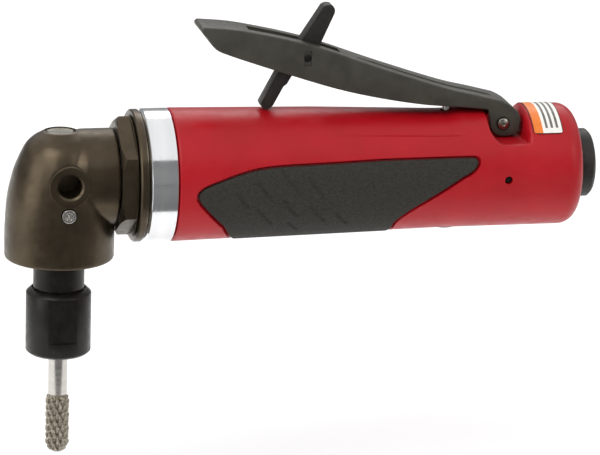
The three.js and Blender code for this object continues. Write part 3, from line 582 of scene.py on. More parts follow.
def settle_on_walls(obj, crown, radius, bottom, neck, shoulder):
    """Moves the skin back onto the two turned walls, away from where they melt together."""
    count = len(obj.data.vertices)
    points = np.empty(count * 3)
    obj.data.vertices.foreach_get("co", points)
    points = points.reshape(-1, 3) / MM - ORIGIN
    heights = [bottom] + [z for z, _ in crown]
    radii = [radius] + [r for _, r in crown]
    wall = np.interp(points[:, 2], heights, radii)
    across = np.hypot(points[:, 0], points[:, 1])
    level = np.hypot(points[:, 1], points[:, 2])
    reach = 0.35  # how far from a wall the skin is moved onto it
    blend_width = 2.2
    inside_level = (level < neck + blend_width) & (points[:, 0] > 0)
    upright = (abs(across - wall) < reach) & ~inside_level
    upright &= (points[:, 2] > bottom + 1.4) & (points[:, 2] < crown[-1][0] - 1)
    lying = (abs(level - neck) < reach) & (across > wall + blend_width)
    lying &= points[:, 0] < shoulder - 1
    points[upright, :2] *= (wall / across)[upright, None]
    points[lying, 1:] *= (neck / level)[lying, None]
    obj.data.vertices.foreach_set("co", to_row(points).ravel())
    obj.data.update()


def cap_plug():
    low, high = span("head_cap_plug")
    radius = (high[0] - low[0]) / 2
    top = high[2]
    sunk = top - 0.22  # the face inside the raised rim
    profile = [(low[2], 0), (low[2], radius), (top - 0.05, radius), (top, radius - 0.5),
               (sunk, radius - 0.8), (sunk, 0)]
    plug = turned("cap_plug", "z", rounded(profile, 0.12))
    notch_depth, notch_half = 0.9, 0.6
    notches = []
    for side in (radius, -radius):
        start, end = side - notch_depth, side + notch_depth
        notches.append(block((start, -notch_half, top - 1), (end, notch_half, top + 1)))
    combine(plug, "DIFFERENCE", *notches)
    return put(plug, "root", "steel", STEEL, "head_cap_plug")


def grease_nipple():
    low, high = span("grease_fitting")
    centre = middle_mm("grease_fitting")
    outer = (high[0] - low[0]) / 2
    front, back = low[1], high[1]
    seat = 1.25  # radius of the mouth
    ball_radius = 0.7
    place = (centre[0], 0, centre[2])
    profile = [(back, 0), (back, outer - 0.2), (front + 0.7, outer - 0.2), (front + 0.5, outer),
               (front + 0.1, outer), (front, outer - 0.3), (front, seat), (front + 0.7, seat * 0.8),
               (front + 0.7, 0)]
    nipple = turned("grease_nipple", "y", rounded(profile, 0.1), FINE, place)
    dome = arc((front + 1.0, 0), ball_radius, 180, 90, 8)
    ball = turned("ball", "y", [*dome, (front + 1.6, ball_radius), (front + 1.6, 0)], FINE, place)
    combine(nipple, "UNION", ball)
    return put(nipple, "root", "steel", SHANK, "grease_fitting")


def hexagon(start, end, corner):
    """A six-sided bar along X with corners above and below."""
    return turned("hexagon", "x", [(start, 0), (start, corner), (end, corner), (end, 0)], 6)


def lock_nut():
    low, high = span("head_lock_nut")
    start, end = low[0], high[0]
    rim = high[1]
    corner = 20.3  # radius at the hexagon's corners
    hex_end = 22.9
    inner = 15.3
    groove = 17.4  # radius between the hexagon and the rim
    rim_start = hex_end + 0.6
    profile = [(start, inner), (start, corner - 2.2), (start + 1.2, corner), (hex_end, corner),
               (hex_end, groove), (rim_start, groove), (rim_start, rim - 0.5), (hex_end + 1.1, rim),
               (end - 0.4, rim), (end, rim - 0.4), (end, inner)]
    nut = turned("lock_nut", "x", profile)
    keep = hexagon(start - 1, hex_end, corner)
    combine(keep, "UNION", rod("x", hex_end - 0.1, end + 1, rim + 1, segments=ROUND))
    combine(nut, "INTERSECT", keep)
    soften(nut, 0.22, 2, 28)
    return put(nut, "root", "bronze_anodised", BRONZE, "head_lock_nut")


def bearing_retainer():
    low, high = span("bearing_retainer")
    outer = high[0]
    face, back = low[2], high[2]
    inner, recess = 8.95, 10.2
    profile = [(face, inner), (face, outer - 0.3), (face + 0.3, outer), (back, outer), (back, recess),
               (back - 2.2, recess), (back - 2.2, inner)]
    ring = turned("bearing_retainer_ring", "z", profile)
    holes = [rod("z", face - 1, face + 1.2, 0.9, (x, y, 0), COARSE)
             for x, y in arc((0, 0), 11.2, 45, 315, 3)]
    combine(ring, "DIFFERENCE", *holes)
    return put(ring, "root", "black_oxide", OXIDE, "bearing_retainer")


# ---- Spindle, collet and burr ------------------------------------------------------------------


def spindle_shaft():
    low, high = span("spindle")
    neck = high[0]
    thread = 8.1
    neck_top, neck_end = -24.6, -38.0
    profile = [(high[2], 0), (high[2], 2.5), (-4.2, 2.5), (-4.2, 4.5), (-14.5, 4.5), (-14.5, 6),
               (neck_top, 6), (neck_top, neck - 0.3), (neck_top - 0.3, neck), (neck_end + 0.9, neck),
               (neck_end + 0.6, neck - 0.5), (neck_end, neck - 0.5), (neck_end, thread),
               (low[2], thread), (low[2], 6), (-38.5, 4.6), (-38.5, 0)]
    shaft = turned("spindle_shaft", "z", profile)
    return put(shaft, "spindle", "black_oxide", OXIDE, "spindle")


def collet_sleeve():
    low, high = span("collet")
    bore, outer = 3.45, 5.5
    profile = [(high[2], bore), (high[2], 4.3), (-50.5, outer), (-56.2, outer), (low[2], 4.6),
               (low[2], bore)]
    sleeve = turned("collet_sleeve", "z", profile, MEDIUM)
    slit_low, slit_high = (3, -0.4, low[2] - 1), (7, 0.4, high[2] - 7)
    slits = [block(slit_low, slit_high, quarter * math.pi / 2) for quarter in range(4)]
    combine(sleeve, "DIFFERENCE", *slits)
    return put(sleeve, "collet", "steel", STEEL, "collet")


def nut_sleeve():
    low, high = span("collet_nut")
    radius = high[0]
    top, bottom = high[2], low[2]
    mouth, lead_in = 4.1, 9.0
    thread = 8.4
    profile = [(top, lead_in), (top, radius - 1.5), (top - 0.2, radius - 1.25), (top - 1.3, radius - 0.1),
               (top - 1.5, radius), (bottom + 1.1, radius), (bottom + 0.9, radius - 0.12),
               (bottom + 0.1, radius - 1), (bottom, radius - 1.2), (bottom, mouth + 0.5),
               (bottom + 0.5, mouth), (-58.2, mouth), (-56.4, 5.9), (-52.6, 5.9), (-52.6, thread),
               (-38.6, thread), (-38.6, lead_in)]
    nut = turned("nut_sleeve", "z", profile, SMOOTHEST)
    flat_top, flat_bottom = -39.3, -54.8
    flat = 9.8  # distance of the wrench flats from the axis
    for ends in ((-flat - 4, -flat), (flat, flat + 4)):
        combine(nut, "DIFFERENCE", block((-12, ends[0], flat_bottom), (12, ends[1], flat_top)))
    return put(nut, "collet_nut", "black_oxide", OXIDE, "collet_nut")


def burr_cutter():
    """The shank with its double-cut head: steep flutes crossed by finer chip breakers."""
    low, high = span("burr")
    tip, top = low[2], high[2]
    head = high[0]
    head_top = -75.6
    shank = 3.175
    neck = 2.9  # radius of the brazed joint between shank and head
    segments = 192
    rows = 170
    flutes, breakers = 10, 12
    lead, back_lead = 46.0, 60.0  # millimetres of head for one whole turn of each helix
    flute_depth, breaker_depth = 0.72, 0.5
    face_share, back_share = 0.72, 0.14  # shares of the way to the next flute that its two sides take
    breaker_share = 0.3  # the same for either side of a chip breaker
    profile = [(top, 0), (top, shank - 0.4), (top - 0.4, shank), (head_top + 1.0, shank),
               (head_top + 0.75, neck), (head_top + 0.35, neck)]
    angles = np.linspace(0, 2 * np.pi, segments, endpoint=False)
    turns = angles / (2 * np.pi)
    rings = [np.full(segments, radius) for _, radius in profile]
    places = [place for place, _ in profile]
    centre = tip + head
    for step in range(rows + 1):
        along = head_top - (head_top - tip) * step / rows
        body = head if along > centre else math.sqrt(max(0.0, head**2 - (centre - along) ** 2))
        body = min(body, neck + 0.75 + 1.2 * (head_top - along))
        fade = min(1.0, body / head * 1.25)
        main = (flutes * (turns + along / lead)) % 1.0
        cross = (breakers * (turns - along / back_lead)) % 1.0
        gullet = np.clip(1 - main / face_share, 0, 1) * flute_depth
        gullet += np.clip((main - 1 + back_share) / back_share, 0, 1) * flute_depth
        notch = np.clip(1 - abs(cross - 0.5) / breaker_share, 0, 1) * breaker_depth
        rings.append(np.maximum(body - fade * (gullet + notch), 0.0))
        places.append(along)
    vertices = []
    for place, radii in zip(places, rings):
        vertices += list(zip(radii * np.cos(angles), radii * np.sin(angles), np.full(segments, place)))
    faces = []
    for ring in range(len(places) - 1):
        faces += strip(ring * segments, (ring + 1) * segments, segments)
    cutter = mesh_object("burr_cutter", vertices, faces)
    cutter.data.materials.append(SHANK)
    cutter.data.materials.append(CARBIDE)
    carbide_top = to_row([0, 0, head_top + 0.6])[2]
    for polygon in cutter.data.polygons:
        polygon.material_index = int(polygon.center.z < carbide_top)
    return put(cutter, "burr", "carbide", SHANK, "burr", sharp=40)


# ---- Motor collar and grip housing -------------------------------------------------------------


def motor_collar():
    low, high = span("motor_barrel")
    radius = high[1]
    start, end = low[0], 36.0
    barrel = 18.2
    thread, bore = 15.3, 16.5
    profile = [(start, thread), (start, radius - 1.0), (start + 0.55, radius - 0.3), (start + 0.8, radius),
               (end - 0.35, radius), (end - 0.1, radius - 0.3), (end, radius - 0.5), (end, barrel),
               (high[0], barrel), (high[0], bore), (33, bore), (33, thread)]
    collar = turned("motor_collar", "x", profile, SMOOTHEST)
    return put(collar, "root", "aluminium", COLLAR, "motor_barrel")


SHELL_LOW, SHELL_HIGH = span("housing_shell")
SHELL_START, SHELL_END = SHELL_LOW[0], SHELL_HIGH[0]
CORNER_START, CORNER_RADIUS = 169.0, 5.5
GROOVE = 0.45  # gap in the housing round the grip
GROOVE_EDGE = 0.75  # where the side of the gap reaches the skin, from the grip's edge
GRIP_DEPTH = 1.5
NEAR_EDGE = 2  # how far from the grip's edge places may have been moved
PIN = middle_mm("lever_hinge_pin")


def shell_radius(x):
    """Outer radius of the housing: a gentle taper that runs straight at the rear."""
    taper, least = 0.019, 20.45
    return np.maximum(least, SHELL_HIGH[1] - taper * (np.asarray(x, float) - SHELL_START))


def grip_outline():
    """The grip's edge as (X, Z) seen from the side. It goes on under the tool."""
    outline = [(52.5, -14.4), (45, -6.4)]
    bend(outline, (42.2, -3.4), (42.6, -1.6))
    bend(outline, (43.2, 0.2), (47, 1.6))
    top = smooth_curve([(47, 1.6), (56.6, 4.8), (66.9, 6.7), (87.9, 7.3), (104.8, 7.8)], 3)
    outline += top[1:] + [(135.4, 7.8)]
    bend(outline, (137.8, 7.6), (137.2, 5.8))
    bend(outline, (136.4, 3.4), (132.2, 1.6))
    outline += [(119, -7)]
    bend(outline, (112, -11.6), (110.4, -15))
    outline += [(109.5, -24), (62, -24)]
    return outline


def rolled_out():
    """The grip's edge on the unrolled skin, as (X, distance round the skin above the middle)."""
    result = []
    for x, z in grip_outline():
        radius = float(shell_radius(x))
        if z < -radius:
            result.append((x, -radius * math.pi / 2 - 8))
        else:
            result.append((x, radius * math.asin(z / radius)))
    return np.array(result)


def edge_distance(points, outline):
    """Signed distance to a closed outline, negative inside, and the nearest point on it."""
    nearest = np.zeros_like(points)
    best = np.full(len(points), 1e9)
    inside = np.zeros(len(points), bool)
    for a, b in zip(outline, np.roll(outline, -1, axis=0)):
        along = b - a
        share = np.clip(((points - a) @ along) / (along @ along), 0, 1)
        foot = a + share[:, None] * along
        distance = np.linalg.norm(points - foot, axis=1)
        closer = distance < best
        best[closer] = distance[closer]
        nearest[closer] = foot[closer]
        if a[1] != b[1]:
            crosses = (a[1] > points[:, 1]) != (b[1] > points[:, 1])
            at = a[0] + (points[:, 1] - a[1]) * along[0] / along[1]
            inside ^= crosses & (points[:, 0] < at)
    return np.where(inside, -best, best), nearest


def skin_grid(xs, count):
    """Unrolled places of a grid round the housing: X, and the angle from the top, on both sides."""
    turn = np.linspace(-math.pi, math.pi, count, endpoint=False)
    grid_x, grid_turn = np.meshgrid(xs, turn, indexing="ij")
    return grid_x.ravel(), grid_turn.ravel()


def unrolled(x, turn):
    """Places on the unrolled skin, as (X, distance round the skin above the middle)."""
    return np.column_stack([x, shell_radius(x) * (math.pi / 2 - abs(turn))])


def rerolled(flat, turn):
    """The angle from the top of unrolled places, on the side that turn was on."""
    side = np.where(turn < 0, -1.0, 1.0)
    return side * (math.pi / 2 - flat[:, 1] / shell_radius(flat[:, 0]))


def pull_to(flat, distance, nearest, low, high, target):
    """Moves the places between two distances from the outline to the target distance."""
    band = (distance > low) & (distance <= high) & (abs(distance) > NOTHING)
    away = (flat[band] - nearest[band]) / distance[band, None]
    flat[band] = nearest[band] + away * target
    distance[band] = target


def boss_height(x):
    """Top of the boss between the lever's ears."""
    pin_x, pin_z = PIN[0], PIN[2]
    radius = 3.9
    ramp_start, ramp_low = 142.4, 18.8
    ramp_end, ramp_high = 146.96, 19.73
    circle = pin_z + np.sqrt(np.clip(radius**2 - (x - pin_x) ** 2, 0, None))
    ramp = ramp_low + (x - ramp_start) * (ramp_high - ramp_low) / (ramp_end - ramp_start)
    height = np.where(x < ramp_end, ramp, circle)
    return np.where(x > pin_x + radius, 0.0, height)


def pocket_radius(x, turn):
    """Radius of the pocket that the lever's ears and tail sink into, or a large one outside it."""
    start, end = 142.6, 155.4
    deepest = 11.2
    ramp_end, ramp_length, ramp_height = 147.4, 4.8, 4
    boss_half = 5.3  # half the width of the boss between the ears
    outside = 99.0
    floor = deepest + ramp_height * np.clip((ramp_end - x) / ramp_length, 0, 1) ** 2.4
    rise = np.cos(turn)
    side = np.maximum(abs(np.sin(turn)), NOTHING)
    safe = np.maximum(rise, NOTHING)
    middle_wall = np.minimum(boss_half / side, boss_height(x) / safe)
    depth = np.maximum(floor / safe, middle_wall)
    inside = (x > start) & (x < end) & (rise > 0.3)
    return np.where(inside, depth, outside)


def blurred(values, shape, rounds):
    """Evens out a grid of values with their neighbours. The second direction closes on itself."""
    grid = values.reshape(shape)
    for _ in range(rounds):
        grid = (np.roll(grid, 1, 1) + 2 * grid + np.roll(grid, -1, 1)) / 4
        padded = np.vstack([grid[:1], grid, grid[-1:]])
        grid = (padded[:-2] + 2 * grid + padded[2:]) / 4
    return grid.ravel()


def step(value, low, high):
    """0 below low, 1 above high, and smooth in between."""
    share = np.clip((value - low) / (high - low), 0, 1)
    return share * share * (3 - 2 * share)


def hollow_depth(x, turn):
    """The shallow hollow that makes room under the lever."""
    radius = shell_radius(x)
    deepest = 0.75
    flat_half, edge_half = 14.2, 14.8
    along = np.interp(x, [85, 125, 129.8, 134.5], [0, deepest, deepest, 0])
    side = abs(radius * np.sin(turn))
    return along * (1 - step(side, flat_half, edge_half)) * (np.cos(turn) > 0)


def housing_skin():
    """The outer skin of the housing up to its rear corner, as rings of points."""
    # Start, end and spacing of each stretch of rings. They are closest round the lever's pocket.
    stretches = [(SHELL_START + 0.5, 142.2, 0.45), (142.3, 155.8, 0.25), (156.1, CORNER_START, 0.6)]
    columns = np.concatenate([np.arange(*stretch) for stretch in stretches])
    rows = 336
    x, turn = skin_grid(columns, rows)
    flat = unrolled(x, turn)
    distance, nearest = edge_distance(flat, rolled_out())
    half_way = (GROOVE + GROOVE_EDGE) / 2
    reach = 0.25  # how far from the gap's two lines places are moved onto them
    pull_to(flat, distance, nearest, GROOVE - reach, half_way, GROOVE)
    pull_to(flat, distance, nearest, half_way, GROOVE_EDGE + reach, GROOVE_EDGE)
    turn = np.where(abs(distance) < NEAR_EDGE, rerolled(flat, turn), turn)
    x = flat[:, 0]
    radius = shell_radius(x)
    pocket = np.minimum(pocket_radius(x, turn), radius)
    sunk = blurred(radius - pocket, (len(columns), rows), 2)
    groove = GRIP_DEPTH * (1 - np.clip((distance - GROOVE) / (GROOVE_EDGE - GROOVE), 0, 1))
    radius = radius - np.maximum(np.maximum(sunk, groove), hollow_depth(x, turn))
    skin = np.column_stack([x, radius * np.sin(turn), radius * np.cos(turn)])
    return skin.reshape(len(columns), rows, 3), rows


def housing():
    skin, rows = housing_skin()
    turn = np.linspace(-math.pi, math.pi, rows, endpoint=False)
    motor_bore, air_bore, seat_bore, cap_bore = 18.5, 6.0, 8.0, 11.8
    motor_end, seat_start, cap_start = 102, 139, 158.4
    inward = float(shell_radius(CORNER_START)) - CORNER_RADIUS
    corner = arc((inward, CORNER_START), CORNER_RADIUS, 4, 74, 11)
    before = [(motor_end, motor_bore), (SHELL_START, motor_bore), (SHELL_START, 21.6),
              (SHELL_START + 0.2, 22.0)]
    after = [(place, radius) for radius, place in corner]
    after += [(SHELL_END - 0.25, 13.2), (SHELL_END, 12.6), (SHELL_END, 12.0), (SHELL_END - 0.2, cap_bore),
              (cap_start, cap_bore), (cap_start, seat_bore), (seat_start, seat_bore),
              (seat_start, air_bore), (motor_end, air_bore)]

    def ring(place, radius):
        return np.column_stack([np.full(rows, place), radius * np.sin(turn), radius * np.cos(turn)])

    rings = [ring(*p) for p in before] + list(skin) + [ring(*p) for p in after]
    faces = []
    for number in range(len(rings)):
        faces += strip(number * rows, (number + 1) % len(rings) * rows, rows)
    body = mesh_object("housing_body", np.vstack(rings), faces)
    valve = middle_mm("valve_plug")[0]
    bushing = middle_mm("bushing_pin")
    valve_bore, plunger_bore, bushing_bore, hinge_bore = 5.6, 2.1, 1.35, 1.9
    outside = 24  # clear of the housing
    lead_in = [(-outside, 0), (-outside, 6.9), (-20.6, 6.1), (-19.8, 5.5), (-19.8, 0)]
    combine(
        body, "DIFFERENCE",
        rod("z", -outside, 0, valve_bore, (valve, 0, 0), MEDIUM),
        turned("lead_in", "z", lead_in, MEDIUM, (valve, 0, 0)),
        rod("z", 5, outside, plunger_bore, (valve, 0, 0)),
        rod("y", -outside, -7, bushing_bore, (bushing[0], 0, bushing[2])),
        rod("y", -19, 19, hinge_bore, (PIN[0], 0, PIN[2])),
    )
    return put(body, "root", "red_composite", RED, "housing_shell", sharp=38)


# Short diagonal cuts in the grip: where each starts, as X and Z, and its length.
GRIP_CUTS = [(55.2, -1.2, 6.4), (62.2, 2.0, 6.8), (70.6, 5.2, 9.6), (79.2, 3.0, 8.4), (62.6, -7.0, 8.2),
             (71.4, -4.6, 7.4), (80.4, -6.8, 8.2), (89.4, -9.8, 6.2), (73.6, -12.6, 5.0)]


def grip_skin():
    """X, angle, outer radius, inner radius and distance from the edge of a grid over the grip."""
    columns = np.arange(41.5, 139, 0.42)
    rows = 330
    x, turn = skin_grid(columns, rows)
    flat = unrolled(x, turn)
    outline = rolled_out()
    distance, nearest = edge_distance(flat, outline)
    pull_to(flat, distance, nearest, -0.2, 0.7, 0.0)
    turn = np.where(abs(distance) < NEAR_EDGE, rerolled(flat, turn), turn)
    base = shell_radius(flat[:, 0])
    floor = base - GRIP_DEPTH + 0.15
    roll = 0.9  # how far in from its edge the grip starts to round over
    proud = 0.28  # how far the grip stands out of the housing
    inward = np.clip(-distance, 0, roll)
    crown = base + proud - roll + np.sqrt(roll**2 - (roll - inward) ** 2)
    heading = np.array([0.62, -0.78])  # the way that the cuts run
    cut_depth = 0.5
    steep_side, gentle_side = 0.45, 1.1  # widths of a cut's two sides
    usual_radius = 21
    for start_x, start_z, length in GRIP_CUTS:
        height = float(shell_radius(start_x)) * math.asin(start_z / usual_radius)
        start = np.array([start_x, height])
        offset = flat - start
        share = np.clip(offset @ heading, 0, length)
        away = np.linalg.norm(offset - share[:, None] * heading, axis=1)
        side = offset[:, 0] * heading[1] - offset[:, 1] * heading[0]
        width = np.where(side > 0, steep_side, gentle_side)
        crown = crown - cut_depth * np.clip(1 - away / width, 0, 1)
    return flat[:, 0], turn, crown, floor, distance, (len(columns), rows)


def grip_pad():
    x, turn, crown, floor, distance, (count, rows) = grip_skin()
    inside = (distance < -NOTHING).reshape(count, rows)
    corners = []
    for i in range(count - 1):
        for j in range(rows):
            k = (j + 1) % rows
            places = [(i, j), (i + 1, j), (i + 1, k), (i, k)]
            if any(inside[place] for place in places):
                corners.append(tuple(column * rows + row for column, row in places))
    top = np.column_stack([x, crown * np.sin(turn), crown * np.cos(turn)])
    bottom = np.column_stack([x, floor * np.sin(turn), floor * np.cos(turn)])
    size = len(x)
    faces = corners + [tuple(v + size for v in reversed(face)) for face in corners]
    edges = {}
    for face in corners:
        for a, b in zip(face, face[1:] + face[:1]):
            edges[(a, b)] = None
    rim = [(a, b) for a, b in edges if (b, a) not in edges]
    faces += [(b, a, a + size, b + size) for a, b in rim]
    used = sorted({v for face in faces for v in face})
    number = {v: i for i, v in enumerate(used)}
    vertices = np.vstack([top, bottom])[used]
    pad = mesh_object("grip_pad", vertices, [[number[v] for v in face] for face in faces])
    return put(pad, "root", "grip_rubber", GRIP, "grip_overmould", sharp=45)


def label():
    """A sticker over the rear of the housing: an orange strip and plain bars, no lettering."""
    low, high = span("rear_label")
    start, end = low[0], high[0]
    radius = float(shell_radius(start)) + 0.2
    reach = math.radians(46.5) * radius  # half its length round the housing
    film = 0.16
    corner = 1.5
    border = 0.28
    strip_end = start + 3.3
    first_bar = strip_end + 1.05
    bar, gap = 0.85, 0.95
    bar_inset = 2.0  # how far the bars stop short of its ends
    on_paper, on_strip, on_bar, on_border = range(4)
    lines = [start, start + border, strip_end]
    for number in range(3):
        first = first_bar + number * (bar + gap)
        lines += [first, first + bar]
    lines += [end - border, end]
    arcs = sorted({*np.linspace(-reach, reach, 121), -reach + border, reach - border})
    vertices = []
    for along in arcs:
        near = max(0.0, corner - (reach - abs(along)))
        inset = corner - math.sqrt(max(0.0, corner**2 - near**2))
        angle = along / radius
        for line in lines:
            x = min(max(line, start + inset), end - inset)
            vertices.append((x, radius * math.sin(angle), radius * math.cos(angle)))
    faces = []
    kinds = []
    width = len(lines)
    for j, (a, b) in enumerate(zip(arcs, arcs[1:])):
        from_end = reach - max(abs(a), abs(b))
        for i in range(width - 1):
            corner_number = j * width + i
            across = corner_number + width
            faces.append((corner_number, corner_number + 1, across + 1, across))
            if from_end < border or i in (0, width - 2):
                kinds.append(on_border)
            elif i == 1:
                kinds.append(on_strip)
            elif i in (3, 5, 7) and from_end > bar_inset:
                kinds.append(on_bar)
            else:
                kinds.append(on_paper)
    mesh = bpy.data.meshes.new("sticker")
    mesh.from_pydata(to_row(vertices).tolist(), [], faces)
    for material in (PAPER, ORANGE, INK, BORDER):
        mesh.materials.append(material)
    mesh.polygons.foreach_set("material_index", kinds)
    sticker = added("sticker", mesh)
    thick = sticker.modifiers.new("thick", "SOLIDIFY")
    thick.thickness = film * MM
    thick.offset = 0
    bake(sticker)
    return put(sticker, "root", "label_film", PAPER, "rear_label")


# ---- Valve, inlet and exhaust ------------------------------------------------------------------


def plunger():
    low, high = span("throttle_plunger")
    centre = middle_mm("throttle_plunger")
    stem = 1.5
    top = high[2]
    head = high[0] - centre[0]
    profile = [(top, 0), (top - 0.05, 0.6), (top - 0.25, 1.1), (top - 0.7, stem), (-1, stem),
               (-2.4, head), (low[2], head), (low[2], 0)]
    pin = turned("plunger_pin", "z", rounded(profile, 0.3), FINE, (centre[0], 0, 0))
    return put(pin, "valve", "steel", SHANK, "throttle_plunger")


def valve_cap():
    low, high = span("valve_plug")
    centre = middle_mm("valve_plug")
    radius = high[1]
    top, bottom = high[2], low[2]
    place = (centre[0], 0, 0)
    profile = [(top, 0), (top, radius), (bottom + 0.5, radius), (bottom, radius - 0.5), (bottom, 0)]
    cap = turned("valve_cap", "z", profile, MEDIUM, place)
    socket_radius = 2.9  # at the corners of the hexagon
    socket = [(bottom - 1, 0), (bottom - 1, socket_radius), (bottom + 2.8, socket_radius), (bottom + 3.6, 0)]
    combine(cap, "DIFFERENCE", turned("socket", "z", socket, 6, place))
    return put(cap, "root", "black_oxide", OXIDE, "valve_plug")


def inlet():
    low, high = span("inlet_bushing")
    outer = high[1]
    start, end = low[0], high[0]
    thread, throat = 5.7, 4.5
    thread_start = 165.0
    pitch = 1.41
    waist_start, waist_end, waist = 145.8, 149.4, 6.8
    profile = [(start, throat), (start, outer), (waist_start, outer), (waist_start, waist),
               (waist_end, waist), (waist_end, outer), (end - 0.4, outer), (end, outer - 0.4),
               (end, thread + 0.7), (end - 0.7, thread)]
    place = end - 0.7
    while place - pitch > thread_start + 1:
        profile += [(place - pitch * 0.5, thread + 0.55), (place - pitch, thread)]
        place -= pitch
    profile += [(thread_start, thread), (thread_start, throat)]
    bushing = turned("inlet_bush", "x", profile)
    return put(bushing, "root", "steel", STEEL, "inlet_bushing")


def exhaust_deflector():
    low, high = span("exhaust_cap")
    radius = high[1]
    start, end = low[0], high[0]
    bore, inner = 8.1, 10
    vent_count, vent_radius, vent_circle = 10, 0.7, 9.3
    profile = [(start, inner), (start, radius), (end - 1.2, radius), (end - 1.0, radius - 0.1),
               (end - 0.1, radius - 1), (end, radius - 1.2), (end, bore + 0.2), (end - 0.2, bore),
               (end - 2, bore), (end - 2, inner)]
    cap = turned("exhaust_deflector", "x", rounded(profile, 0.15, 2))
    vents = []
    for angle in np.arange(vent_count) * 2 * math.pi / vent_count:
        place = (0, vent_circle * math.cos(angle), vent_circle * math.sin(angle))
        vents.append(rod("x", end - 4, end + 2, vent_radius, place, COARSE))
    combine(cap, "DIFFERENCE", *vents)
    return put(cap, "root", "black_composite", LOCK_BLACK, "exhaust_cap")


def locating_pin():
    low, high = span("bushing_pin")
    centre = middle_mm("bushing_pin")
    radius = (high[0] - low[0]) / 2
    front, back = low[1], high[1]
    profile = [(back, 0), (back, radius), (front + 0.3, radius), (front, radius - 0.3), (front, 0)]
    pin = turned("locating_pin", "y", profile, FINE, (centre[0], 0, centre[2]))
    return put(pin, "root", "black_oxide", OXIDE, "bushing_pin")


# ---- Throttle lever and its lock ---------------------------------------------------------------

LEVER_HALF = span("throttle_lever")[1][1]
LEVER_TOP = [(46.2, 51.2), (56, 50.3), (66, 48.4), (76, 46.1), (86.5, 43.1), (107, 35.8), (128, 28.9),
             (138.4, 26.3), (147.5, 24)]
LEVER_UNDER = [(143.4, 20.9), (134, 22), (121, 23.2), (106, 25.8), (91, 29.4), (72, 35.5), (55, 41.4),
               (50, 43.8), (47.2, 47.4)]
LOCK_PIVOT = middle_mm("lock_pin")


def through(radius, centre):
    """A cutter for a pin's hole across the lever or its lock."""
    return rod("y", -10, 10, radius, (centre[0], 0, centre[2]))


def lever():
    pin_x, pin_z = PIN[0], PIN[2]
    top = smooth_curve(LEVER_TOP, 1.6)
    side = [(45.1, 49.7), (45.3, 50.8)] + top
    bend(side, (153.6, 21.4), (154.6, 17.6), 8)
    side += [(154.2, 13.6)]
    bend(side, (153.2, 11.6), (pin_x + 1, 11.6), 6)
    side += arc((pin_x, pin_z - 0.1), 4.4, -90, -180, 12)
    side += smooth_curve(LEVER_UNDER, 1.6)
    body = prism("lever_arm", side, -LEVER_HALF, LEVER_HALF)
    soften(body, 1.0, 4, 50)
    plate = 1.9  # thickness of the back
    inner = 5.6  # half the gap between the two sides
    under = [(x, z - plate) for x, z in top if x > 48.6]
    channel = [(under[0][0], 5), *under]
    bend(channel, (151.8, 20.3), (152.8, 16.8), 6)
    channel += [(152.8, 5)]
    slot_start, slot_end = 61.7, 93.0
    slot_half = 2.85
    lock_x, lock_z = LOCK_PIVOT[0], LOCK_PIVOT[2]
    recess_wide, recess_tall = 1.3, 2.6  # half the size of the recess at each end of the lock's pin
    cutters = [
        prism("channel", channel, -inner, inner),
        block((slot_start, -slot_half, 36), (slot_end, slot_half, 60)),
        through(1.95, PIN),
        through(1.35, LOCK_PIVOT),
    ]
    for face in (-1, 1):
        start, end = sorted((face * (LEVER_HALF - 0.55), face * (LEVER_HALF + 1)))
        low = (lock_x - recess_wide, start, lock_z - recess_tall)
        high = (lock_x + recess_wide, end, lock_z + recess_tall)
        cutters.append(block(low, high))
        start, end = sorted((face * (LEVER_HALF - 0.5), face * (LEVER_HALF + 1)))
        cutters.append(rod("y", start, end, 2.45, (pin_x, 0, pin_z)))
    combine(body, "DIFFERENCE", *cutters)
    combine(body, "UNION", lever_rib(top))
    return put(body, "lever", "black_composite", LEVER_BLACK, "throttle_lever", sharp=40)


def lever_rib(top):
    """The low rounded rib along the back of the lever."""
    start, end = 96.0, 147.0
    half, height = 1.9, 0.75
    root = 0.6  # how deep it starts inside the lever
    along = [(x, z) for x, z in top if start <= x <= end]
    sections = []
    for number, (x, z) in enumerate(along):
        rise = height * min(1.0, number / 4, (len(along) - 1 - number) / 2)
        section = [(x, -half - 0.5, z - root)]
        for angle in np.radians(np.linspace(180, 0, 9)):
            section.append((x, half * math.cos(angle), z + rise * math.sin(angle) ** 0.6 - 0.05))
        section.append((x, half + 0.5, z - root))
        sections.append(section)
    return solid_through("rib", sections)


def hinge_pin():
    shank = 1.65
    head = 2.0
    face = 7.3
    tip = span("lever_hinge_pin")[1][1] - 0.15
    dimple = tip - 0.12
    dome = [(face, head), (face + 0.35, head - 0.12), (face + 0.6, head - 0.5), (tip, 0.7),
            (dimple, 0.55), (dimple, 0)]
    profile = [(-place, radius) for place, radius in reversed(dome)]
    profile += [(-face, shank), (face, shank)] + dome
    pin = turned("hinge_pin", "y", profile, FINE, (PIN[0], 0, PIN[2]))
    return put(pin, "root", "steel", STEEL, "lever_hinge_pin")


